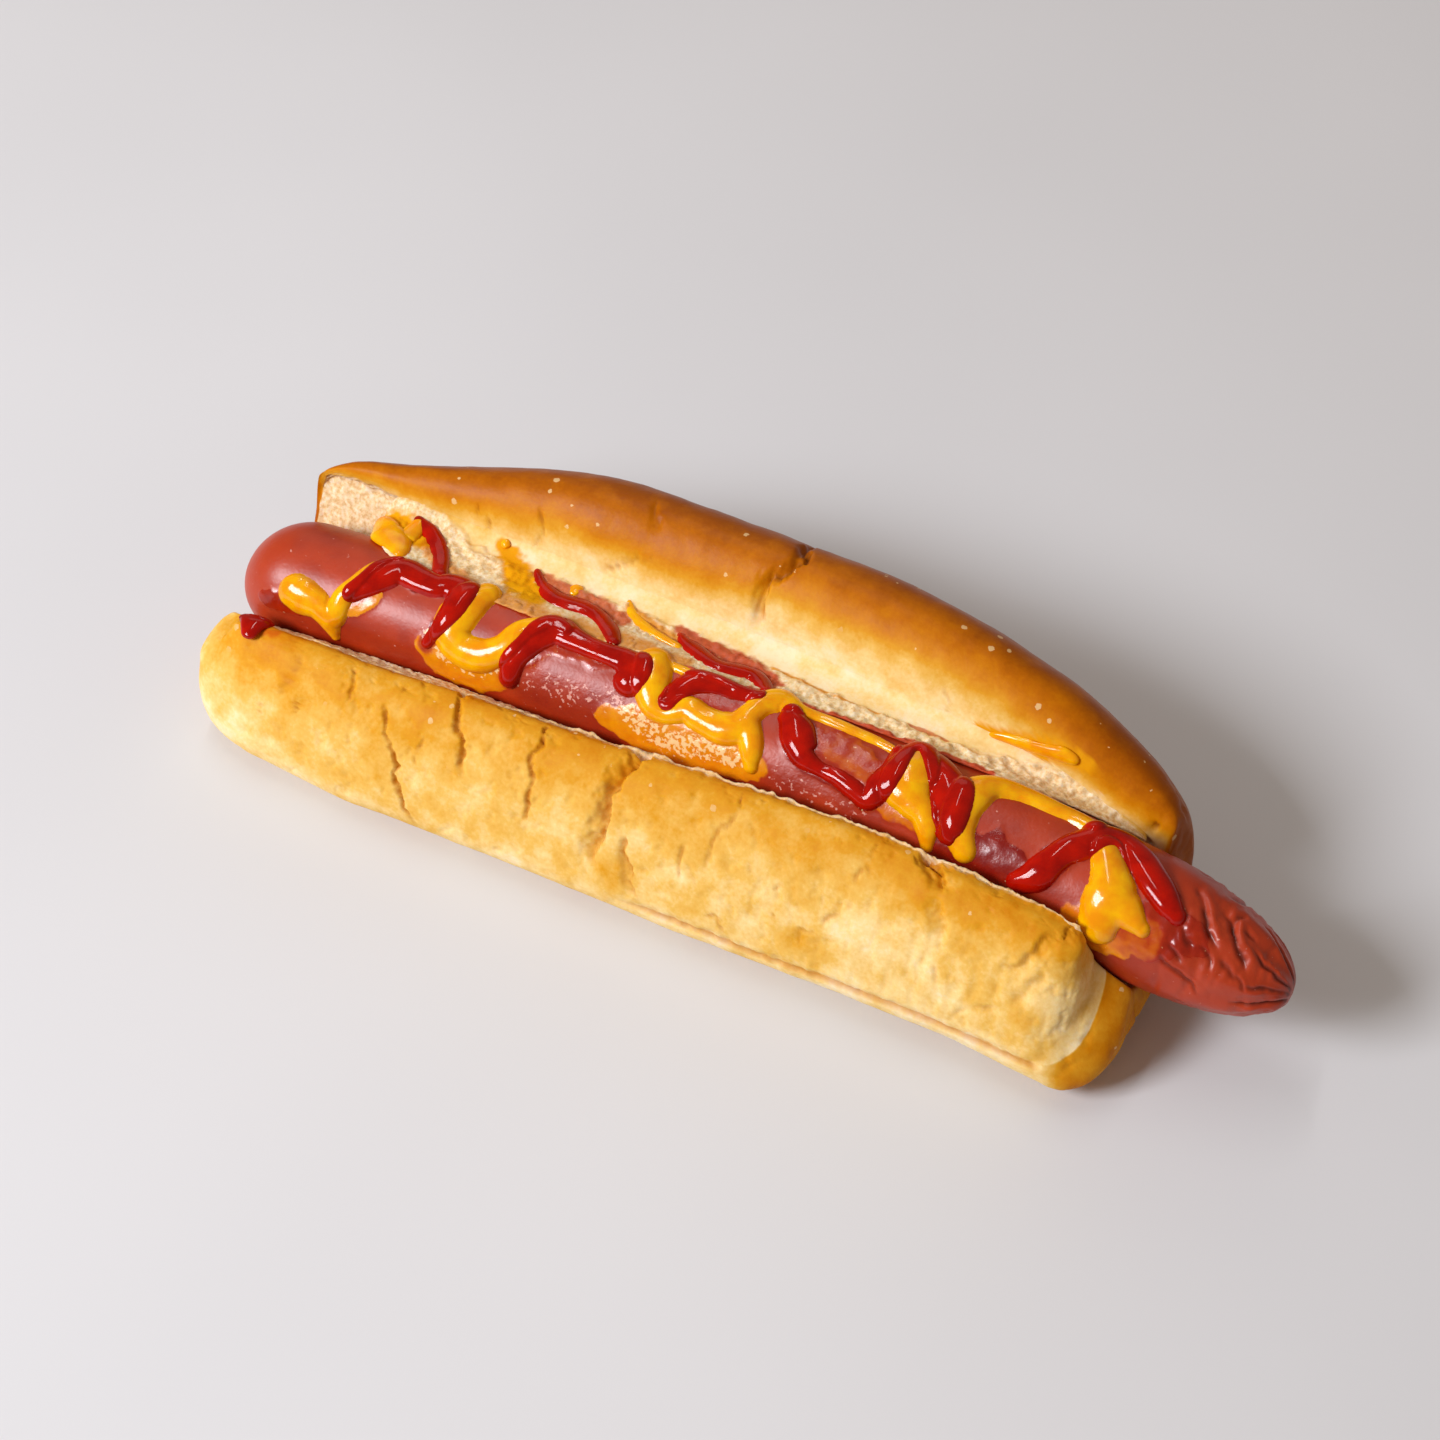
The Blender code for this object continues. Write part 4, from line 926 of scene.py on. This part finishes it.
def sausage_skin(material):
    """The sausage's skin: a sphere drawn out to its shape, wrinkled at the tip, raised under thin sauce."""
    bm = bmesh.new()
    bmesh.ops.create_uvsphere(bm, u_segments=SKIN_SEGMENTS, v_segments=SKIN_RINGS, radius=1)
    mesh = bpy.data.meshes.new("sausage_skin")
    bm.to_mesh(mesh)
    bm.free()
    ball = vertex_places(mesh).astype(float)
    along = 1 - 2 * np.arccos(np.clip(ball[:, 2], -1, 1)) / math.pi
    x = mix(along, ball[:, 2], 0.55) * SAUSAGE_LENGTH / 2
    angle = np.arctan2(ball[:, 1], ball[:, 0])
    points = on_sausage(x, angle)
    out = points - stacked(x, *sausage_line(x))
    out = out / np.maximum(np.linalg.norm(out, axis=1, keepdims=True), 1e-9)
    depth = 0.10 * (0.5 + 0.5 * speckle(points, 16, 2, 3.0))
    ring = ease(62 * MM, 84 * MM, x) * ease(97 * MM, 92 * MM, x)
    depth += 0.45 * np.maximum(speckle(points * (2.6, 1, 1), 7.0, 3, 8.0), 0.0) * ring
    torn = points + 0.5 * MM * speckle(points, 4.0, 3, 33.0)[:, None]
    crease_shade = np.zeros(len(points))
    for places, deep, half_width in WRINKLES:
        xs, angles = np.array(places, float).T
        line = smooth_curve(np.column_stack((xs * MM, np.radians(angles))), np.linspace(0, 1, 24))
        path = on_sausage(*line.T)
        distance, share, towards = near_path(torn, path)
        away = np.clip(distance / MM / half_width, 0.0, 1.0)
        run = ease(0.0, 0.3, share) * (1.0 if places[-1][0] > 96 else ease(1.0, 0.75, share))
        lip = np.exp(-((distance / MM - 1.6 * half_width) / (0.6 * half_width)) ** 2) * (towards[:, 0] > 0)
        depth += run * deep * ((1 - away) ** 1.5 - 0.22 * lip)
        # Painted shade along the middle of each wrinkle and pleat.
        crease_shade = np.maximum(crease_shade, run * deep * ease(0.55, 0.1, distance / MM))
    sauce, red = sauce_on_skin(x, angle)
    depth -= sauce * (0.8 + 0.4 * speckle(points, 2.0, 2, 23.0)) * SHEET_THICKNESS / MM
    depth = np.maximum(depth, -SHEET_THICKNESS / MM)
    rim = np.minimum(SAUSAGE_LENGTH / 2 - np.abs(x), 1.2 * MM) / (1.2 * MM)
    set_places(mesh, points - out * (depth * rim * MM)[:, None])
    set_field(mesh, "sauce", sauce)
    set_field(mesh, "red", red)
    set_field(mesh, "crease_shade", crease_shade)
    # Pale specks of painted highlight on the low front.
    set_field(mesh, "painted_glint", painted_glint_amount(x, angle))
    # Paler towards the blunt end, painted light where the key light falls on it, and paler towards the
    # tapered end.
    set_field(mesh, "pale", ease(-78 * MM, -92 * MM, x) * 0.5 + 0.4 * ease(60 * MM, 90 * MM, x))
    piece = finish_mesh(mesh, "sausage_skin", material)
    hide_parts("sausage")


def strand_height(x, arc, strands, seed):
    """Height in mm of the beads of sauce over the skin, below 0 outside them."""
    best = np.full(x.size, -0.5)
    points = np.column_stack((x.ravel(), arc.ravel(), np.zeros(x.size)))
    for k, strand in enumerate(strands):
        places = [(a, SAUSAGE_RADIUS / MM * math.radians(b), 0.0, width) for a, b, width in strand]
        line = smooth_curve(places, np.linspace(0, 1, 6 * len(strand)))
        walked = np.concatenate(([0.0], np.cumsum(np.linalg.norm(np.diff(line[:, :3], axis=0), axis=1))))
        close = np.all((points > line[:, :3].min(0) - 5) & (points < line[:, :3].max(0) + 5), axis=1)
        distance, share, _ = near_path(points[close], line[:, :3])
        width = np.interp(share * walked[-1], walked, line[:, 3])
        swollen = [noise.noise(Vector((v, k * 3.7, seed))) for v in share * walked[-1] / 6]
        width = 1.32 * width * (1 + 0.22 * np.array(swollen))
        inside = 1 - (distance / width) ** 2
        tall = np.minimum(0.75 * width, 0.85 + 0.26 * width)
        bead = np.where(inside > 0, tall * np.maximum(inside, 0.0) ** 0.55, np.maximum(0.8 * inside, -0.5))
        best[close] = smooth_max(best[close], bead, 0.5)
    return best.reshape(x.shape)


def smooth_max(a, b, blend):
    """The larger of the two, with a fillet where they are within blend of each other."""
    over = np.clip(blend - np.abs(a - b), 0.0, blend) * ((a > 0) & (b > 0))
    return np.maximum(a, b) + over ** 2 / (4 * blend)


def drizzle(name, x, angle, height, material):
    """A closed shell of sauce over the sausage, where its height is above the skin."""
    mesh, i, j = lofted_grid(x.shape[0] - 1, x.shape[1] - 1)
    set_places(mesh, on_sausage(x, angle, height * MM)[i, j])
    set_field(mesh, "height", height[i, j])
    bm = bmesh.new()
    bm.from_mesh(mesh)
    layer = bm.verts.layers.float["height"]
    bare = [f for f in bm.faces if all(v[layer] < -0.3 for v in f.verts)]
    bmesh.ops.delete(bm, geom=bare, context="FACES")
    bmesh.ops.recalc_face_normals(bm, faces=bm.faces)
    bmesh.ops.solidify(bm, geom=bm.faces[:], thickness=0.5 * MM)
    bm.to_mesh(mesh)
    bm.free()
    piece = finish_mesh(mesh, name, material)
    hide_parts("sausage")


def all_drizzle(mustard_finish, ketchup_finish):
    """The mustard, then the ketchup, which lies over the mustard where they cross."""
    xs = np.arange(-90.0, 86.0, DRIZZLE_STEP)
    arcs = np.arange(-19.0, 6.5, DRIZZLE_STEP)
    x, arc = np.meshgrid(xs, arcs, indexing="ij")
    angle = arc * MM / SAUSAGE_RADIUS
    mustard = strand_height(x, arc, MUSTARD, 2.2)
    ketchup = strand_height(x, arc, KETCHUP, 1.7)
    under = np.maximum(mustard, 0.0)
    ketchup = np.where(ketchup > 0, ketchup * (1 - 0.45 * ease(0.0, 1.5, under)), ketchup)
    drizzle("mustard", x * MM, angle, mustard, mustard_finish)
    drizzle("ketchup", x * MM, angle, np.where(ketchup > -0.45, under + ketchup, -0.5), ketchup_finish)


def crumb_beads(name, surface, runs, material):
    """Beads of sauce half sunk in the bread, along places with half widths on one of its surfaces."""
    mesh = bpy.data.meshes.new(name)
    bm = bmesh.new()
    for run in runs:
        line = smooth_curve(run, np.linspace(0, 1, 9 * len(run)))
        path = surface(line[:, 0] * MM, line[:, 1])
        rings = []
        for k, centre in enumerate(path):
            forward = Vector(path[min(k + 1, len(path) - 1)] - path[max(k - 1, 0)]).normalized()
            across = surface(line[k:k + 1, 0] * MM, line[k:k + 1, 1] + 0.01)[0] - centre
            along = surface(line[k:k + 1, 0] * MM + 1 * MM, line[k:k + 1, 1])[0] - centre
            up = Vector(along).cross(Vector(across)).normalized()
            up = up if up.z > 0 or up.y < -0.9 else -up
            side = forward.cross(up).normalized()
            end = min(k, len(path) - 1 - k) / 5
            full = math.sqrt(max(1 - (1 - min(end, 1.0)) ** 2, 0.04))
            wide = 1.5 * line[k, 2] * full * (1 + 0.3 * noise.noise(Vector(centre / (7 * MM))))
            tall = min(0.65 * wide, 0.35 + 0.25 * wide)
            ring = bmesh.ops.create_circle(bm, cap_ends=False, segments=16, radius=1)["verts"]
            for v in ring:
                v.co = Vector(centre) + (side * v.co.x * wide + up * v.co.y * tall) * MM
            rings.append(ring)
        for low, high in zip(rings, rings[1:]):
            edges = {e for ring in (low, high) for v in ring for e in v.link_edges if e.other_vert(v) in ring}
            bmesh.ops.bridge_loops(bm, edges=list(edges))
        for ring in (rings[0], rings[-1]):
            edges = {e for v in ring for e in v.link_edges if e.other_vert(v) in ring}
            bmesh.ops.holes_fill(bm, edges=list(edges), sides=16)
    bm.to_mesh(mesh)
    bm.free()
    piece = finish_mesh(mesh, name, material)


# --- materials ---

def add(tree, kind, inputs=(), stops=(), out=0, **properties):
    """Adds a node with its properties, its inputs and a ramp's stops, and returns one of its outputs.

    An input is (name or place, value), where the value is another node's output, a hex colour or a number.
    """
    node = tree.nodes.new(kind)
    for name, value in properties.items():
        setattr(node, name, value)
    for socket, value in inputs:
        if isinstance(value, bpy.types.NodeSocket):
            tree.links.new(value, node.inputs[socket])
        else:
            node.inputs[socket].default_value = linear(value) if isinstance(value, str) else value
    while stops and len(node.color_ramp.elements) < len(stops):
        node.color_ramp.elements.new(1.0)
    for k, (place, colour) in enumerate(stops):
        element = node.color_ramp.elements[k]
        element.position = place
        element.color = linear(colour) if isinstance(colour, str) else (colour, colour, colour, 1.0)
    return node.outputs[out]


def new_material(name, sockets):
    """A material, its tree, its shader with the sockets that are the same all over, and its coordinates."""
    material = bpy.data.materials.new(name)
    material.use_nodes = True
    tree = material.node_tree
    shader = tree.nodes["Principled BSDF"]
    for socket, value in sockets.items():
        shader.inputs[socket].default_value = value
    return material, tree, shader, add(tree, "ShaderNodeTexCoord", out="Object")


def baked_bread():
    """Soft white bread with a thin crust: matt torn crumb, pale gold low down, shiny brown on top."""
    material, tree, shader, place = new_material("baked_bread", {
        "Specular IOR Level": 0.1,
        "Subsurface Weight": 0.15,
        "Subsurface Radius": (1.0, 0.55, 0.25),
        "Subsurface Scale": 2.5 * MM,
    })
    fields = ("bake", "crumb", "crease_shade", "mustard", "ketchup")
    bake, crumb, crease_shade, mustard, ketchup = (
        add(tree, "ShaderNodeAttribute", out="Fac", attribute_name=field) for field in fields)

    # How baked it is, with mottling 4 mm across and grain 0.7 mm across.
    mottle = add(tree, "ShaderNodeTexNoise", (("Vector", place), ("Scale", 1 / (4.0 * MM)), ("Detail", 4.0)))
    grain = add(tree, "ShaderNodeTexNoise", (("Vector", place), ("Scale", 1 / (0.7 * MM)), ("Detail", 2.0)))
    coarse = add(tree, "ShaderNodeMath", ((0, mottle), (1, 0.3), (2, -0.23)), operation="MULTIPLY_ADD")
    spots = add(tree, "ShaderNodeMath", ((0, grain), (1, 0.16), (2, coarse)), operation="MULTIPLY_ADD")
    level = add(tree, "ShaderNodeMath", ((0, bake), (1, spots)), operation="ADD", use_clamp=True)

    # Small ragged pale flecks, at most one in each cell of 2.7 mm, only where the crust is baked.
    wander = add(tree, "ShaderNodeTexNoise", (("Vector", place), ("Scale", 1 / (0.6 * MM)), ("Detail", 2.0)),
                 out="Color")
    pull = add(tree, "ShaderNodeVectorMath", ((0, wander), ("Scale", 0.5 * MM)), operation="SCALE")
    bent = add(tree, "ShaderNodeVectorMath", ((0, place), (1, pull)), operation="ADD")
    distance = add(tree, "ShaderNodeTexVoronoi", (("Vector", bent), ("Scale", 1 / (2.7 * MM))))
    luck = add(tree, "ShaderNodeSeparateColor", (("Color", distance.node.outputs["Color"]),), out="Red")
    size = add(tree, "ShaderNodeMath", ((0, luck), (1, 0.45), (2, -0.22)), operation="MULTIPLY_ADD")
    inside = add(tree, "ShaderNodeMath", ((0, size), (1, distance)), operation="SUBTRACT")
    spot = add(tree, "ShaderNodeValToRGB", (("Fac", inside),), ((0.0, 0.0), (0.02, 0.75)))
    baked = add(tree, "ShaderNodeValToRGB", (("Fac", level),), ((0.32, 0.0), (0.5, 1.0)))
    fleck = add(tree, "ShaderNodeMath", ((0, spot), (1, baked)), operation="MULTIPLY")

    colour = add(tree, "ShaderNodeValToRGB", (("Fac", level),), CRUST_COLOURS)
    torn = add(tree, "ShaderNodeValToRGB", (("Fac", grain),), CRUMB_COLOURS)
    # Painted shade for the creases, browner in browner crust.
    crack_shade_colour = add(tree, "ShaderNodeValToRGB", (("Fac", level),), CRACK_SHADE_COLOURS)
    # The mustard and ketchup tints are sauce in the crumb, and partly painted shade along the torn crumb's
    # free edge.
    tints = ((crumb, torn), (crease_shade, crack_shade_colour), (fleck, "#eac68c"), (mustard, "#e69c02"), (ketchup, "#bc2c04"))
    for amount, tint in tints:
        colour = add(tree, "ShaderNodeMix", (("Factor", amount), (6, colour), (7, tint)), out=2,
                     data_type="RGBA")
    tree.links.new(colour, shader.inputs["Base Color"])

    # The browner the crust, the shinier.
    shine = add(tree, "ShaderNodeValToRGB", (("Fac", level),), ((0.25, 0.62), (0.6, 0.46), (0.9, 0.36)))
    rough = add(tree, "ShaderNodeMix", (("Factor", crumb), (2, shine), (3, 0.85)), data_type="FLOAT")
    tree.links.new(rough, shader.inputs["Roughness"])

    # Pores 0.4 mm across, deeper in the crumb, over the mottling's own gentle relief.
    pores = add(tree, "ShaderNodeTexNoise", (("Vector", place), ("Scale", 1 / (0.4 * MM)), ("Detail", 3.0)))
    strength = add(tree, "ShaderNodeValToRGB", (("Fac", crumb),), ((0.0, 0.16), (1.0, 0.5)))
    porous = add(tree, "ShaderNodeBump", (("Height", pores), ("Strength", strength), ("Distance", 0.15 * MM)))
    skin = add(tree, "ShaderNodeBump", (("Height", mottle), ("Normal", porous), ("Strength", 0.3),
                                        ("Distance", 0.5 * MM)))
    tree.links.new(skin, shader.inputs["Normal"])
    return material


def smoked_casing():
    """A cooked frankfurter's casing: taut, greasy red-brown skin, whose fine grain breaks up its highlights.

    Thin sauce colours it from yellow to deep red and makes it glossier. Pale specks on its low front are
    painted highlights, pink on bare skin and cream under sauce, and its wrinkles are lined with painted
    shade.
    """
    material, tree, shader, place = new_material("smoked_casing", {
        "Specular IOR Level": 0.5,
        "Subsurface Weight": 0.15,
        "Subsurface Radius": (1.0, 0.3, 0.15),
        "Subsurface Scale": 2.0 * MM,
    })
    fields = ("pale", "sauce", "red", "crease_shade", "painted_glint")
    pale, sauce, red, crease_shade, painted_glint = (
        add(tree, "ShaderNodeAttribute", out="Fac", attribute_name=field) for field in fields)
    cloud = add(tree, "ShaderNodeTexNoise", (("Vector", place), ("Scale", 1 / (9 * MM)), ("Detail", 3.0)))
    specks = add(tree, "ShaderNodeTexNoise", (("Vector", place), ("Scale", 1 / (0.8 * MM)), ("Detail", 6.0)))
    grain = add(tree, "ShaderNodeTexNoise", (("Vector", place), ("Scale", 1 / (0.7 * MM)), ("Detail", 3.0)))
    streak = add(tree, "ShaderNodeTexNoise", (("Vector", place), ("Scale", 1 / (2.2 * MM)), ("Detail", 4.0)))

    skin = add(tree, "ShaderNodeValToRGB", (("Fac", cloud),), ((0.3, "#8e1c06"), (0.7, "#b4360c")))
    uneven = add(tree, "ShaderNodeMath", ((0, streak), (1, 0.7), (2, sauce)), operation="MULTIPLY_ADD")
    spread = add(tree, "ShaderNodeValToRGB", (("Fac", uneven),), ((0.6, 0.0), (0.95, 1.0)))
    mixed = add(tree, "ShaderNodeMath", ((0, streak), (1, 0.5), (2, red)), operation="MULTIPLY_ADD")
    share = add(tree, "ShaderNodeMath", ((0, mixed), (1, 0.25)), operation="SUBTRACT", use_clamp=True)
    thinned = add(tree, "ShaderNodeValToRGB", (("Fac", share),), THIN_SAUCE_COLOURS)
    # Painted highlights: specks where the key light would glint, pink on bare skin and cream under sauce.
    glint_speckle = add(tree, "ShaderNodeMath", ((0, painted_glint), (1, 0.24), (2, specks)), operation="MULTIPLY_ADD")
    glint_mask = add(tree, "ShaderNodeValToRGB", (("Fac", glint_speckle),), ((0.70, 0.0), (0.76, 0.85)))
    glint_colour = add(tree, "ShaderNodeMix", (("Factor", spread), (6, "#dfa394"), (7, "#f4d298")), out=2,
                   data_type="RGBA")
    colour = skin
    # Mixed over the skin in turn: paler ends (painted light at the blunt end), thin sauce, painted shade in
    # the wrinkles and painted highlights.
    for amount, tint in ((pale, "#be421a"), (spread, thinned), (crease_shade, "#4e0e04"), (glint_mask, glint_colour)):
        colour = add(tree, "ShaderNodeMix", (("Factor", amount), (6, colour), (7, tint)), out=2,
                     data_type="RGBA")
    tree.links.new(colour, shader.inputs["Base Color"])

    strength = add(tree, "ShaderNodeValToRGB", (("Fac", painted_glint),), ((0.0, 0.14), (1.0, 0.45)))
    bump = add(tree, "ShaderNodeBump", (("Height", grain), ("Strength", strength), ("Distance", 0.3 * MM)))
    tree.links.new(bump, shader.inputs["Normal"])
    shine = add(tree, "ShaderNodeValToRGB", (("Fac", spread),), ((0.0, 0.38), (1.0, 0.24)))
    tree.links.new(shine, shader.inputs["Roughness"])
    return material


def squeezed_mustard():
    """Yellow mustard from a squeeze bottle: thick, wet and smooth, a little translucent at its edges."""
    material, tree, shader, place = new_material("squeezed_mustard", {
        "Roughness": 0.13,
        "Specular IOR Level": 0.4,
        "Subsurface Weight": 0.25,
        "Subsurface Radius": (1.0, 0.5, 0.05),
        "Subsurface Scale": 1.5 * MM,
    })
    cloud = add(tree, "ShaderNodeTexNoise", (("Vector", place), ("Scale", 1 / (3 * MM)), ("Detail", 3.0)))
    colour = add(tree, "ShaderNodeValToRGB", (("Fac", cloud),), ((0.35, "#ee9200"), (0.65, "#fbb400")))
    tree.links.new(colour, shader.inputs["Base Color"])
    bump = add(tree, "ShaderNodeBump", (("Height", cloud), ("Strength", 0.25), ("Distance", 0.4 * MM)))
    tree.links.new(bump, shader.inputs["Normal"])
    return material


def tomato_ketchup():
    """Tomato ketchup: deep red and very glossy, with a fine pulp under the shine."""
    material, tree, shader, place = new_material("tomato_ketchup", {
        "Roughness": 0.08,
        "Specular IOR Level": 0.28,
        "Subsurface Weight": 0.15,
        "Subsurface Radius": (1.0, 0.1, 0.02),
        "Subsurface Scale": 1.0 * MM,
    })
    pulp = add(tree, "ShaderNodeTexNoise", (("Vector", place), ("Scale", 1 / (3.0 * MM)), ("Detail", 3.0)))
    colour = add(tree, "ShaderNodeValToRGB", (("Fac", pulp),), ((0.35, "#980700"), (0.65, "#b41000")))
    tree.links.new(colour, shader.inputs["Base Color"])
    bump = add(tree, "ShaderNodeBump", (("Height", pulp), ("Strength", 0.15), ("Distance", 0.25 * MM)))
    tree.links.new(bump, shader.inputs["Normal"])
    return material


def pale_floor():
    """A plain matt studio floor, pale and even."""
    material, tree, shader, place = new_material("pale_floor", {"Roughness": 0.6})
    cloud = add(tree, "ShaderNodeTexNoise", (("Vector", place), ("Scale", 6.0), ("Detail", 2.0)))
    colour = add(tree, "ShaderNodeValToRGB", (("Fac", cloud),), ((0.3, "#dadadd"), (0.7, "#e0e0e3")))
    tree.links.new(colour, shader.inputs["Base Color"])
    return material


# --- camera, lights and floor ---

def camera():
    """The photograph's view. The plain view transform is set because the default one dulls the golds."""
    lens = bpy.data.cameras.new("camera")
    lens.lens = LENS
    lens.sensor_width = FILM_WIDTH
    obj = bpy.data.objects.new("camera", lens)
    bpy.context.scene.collection.objects.link(obj)
    turn, lift = math.radians(VIEW_TURN), math.radians(VIEW_LIFT)
    back = Vector((math.sin(turn) * math.cos(lift), -math.cos(turn) * math.cos(lift), math.sin(lift)))
    right = Vector((math.cos(turn), math.sin(turn), 0))
    target = Vector((0, 0, VIEW_HEIGHT)) + right * VIEW_ACROSS + back.cross(right) * VIEW_UP
    obj.location = target + back * VIEW_DISTANCE
    obj.rotation_euler = (-back).to_track_quat("-Z", "Y").to_euler()
    bpy.context.scene.camera = obj
    bpy.context.scene.view_settings.view_transform = "Standard"


def area_light(name, place, size, power, colour, turn=0.0):
    """A rectangle of light that faces the hot dog, turned in its own plane by so many degrees."""
    light = bpy.data.lights.new(name, "AREA")
    light.shape = "RECTANGLE"
    light.size, light.size_y = size
    light.energy = power
    light.color = linear(colour)[:3]
    obj = bpy.data.objects.new(name, light)
    bpy.context.scene.collection.objects.link(obj)
    obj.location = place
    aim = (Vector((0, 0, 0.015)) - Vector(place)).to_track_quat("-Z", "Y")
    obj.rotation_euler = (aim @ Quaternion((0, 0, 1), math.radians(turn))).to_euler()


def studio():
    """The floor, just under the bun, and soft daylight: a large key at the front left and two weak fills."""
    bm = bmesh.new()
    bmesh.ops.create_grid(bm, x_segments=4, y_segments=4, size=2.0)
    bmesh.ops.translate(bm, vec=(0, 0, -0.0002), verts=bm.verts)
    mesh = bpy.data.meshes.new("floor")
    bm.to_mesh(mesh)
    bm.free()
    mesh.materials.append(pale_floor())
    floor = bpy.data.objects.new("floor", mesh)
    bpy.context.scene.collection.objects.link(floor)
    area_light("key", (-0.53, -0.70, 0.68), (0.42, 0.34), 12.2, "#f8faff")
    area_light("top_strip", (-0.27, 0.17, 0.85), (0.6, 0.04), 1.2, "#ffffff", turn=40)
    area_light("back_softbox", (-0.45, 0.70, 0.55), (0.6, 0.3), 0.4, "#fff4ea")
    world = bpy.data.worlds.new("studio")
    world.use_nodes = True
    world.node_tree.nodes["Background"].inputs["Color"].default_value = (1.0, 0.82, 0.66, 1.0)
    world.node_tree.nodes["Background"].inputs["Strength"].default_value = 0.25
    bpy.context.scene.world = world


bread = baked_bread()
mustard_finish = squeezed_mustard()
ketchup_finish = tomato_ketchup()
lobe("bun_front_lobe", section_steps(0.0, LOBES_MEET, FRONT_STEPS), True, bread)
lobe("bun_back_lobe", section_steps(LOBES_MEET, 1.0, BACK_STEPS), False, bread)
sausage_skin(smoked_casing())
all_drizzle(mustard_finish, ketchup_finish)
torn_crumb(bread)
crumb_beads("mustard_on_crumb", overhang_face, CRUMB_MUSTARD, mustard_finish)
crumb_beads("ketchup_on_crumb", overhang_face, CRUMB_KETCHUP, ketchup_finish)
crumb_beads("mustard_on_crust", back_face, BACK_MUSTARD, mustard_finish)
crumb_beads("drop_on_lip", front_face, (LIP_DROP,), ketchup_finish)
camera()
studio()
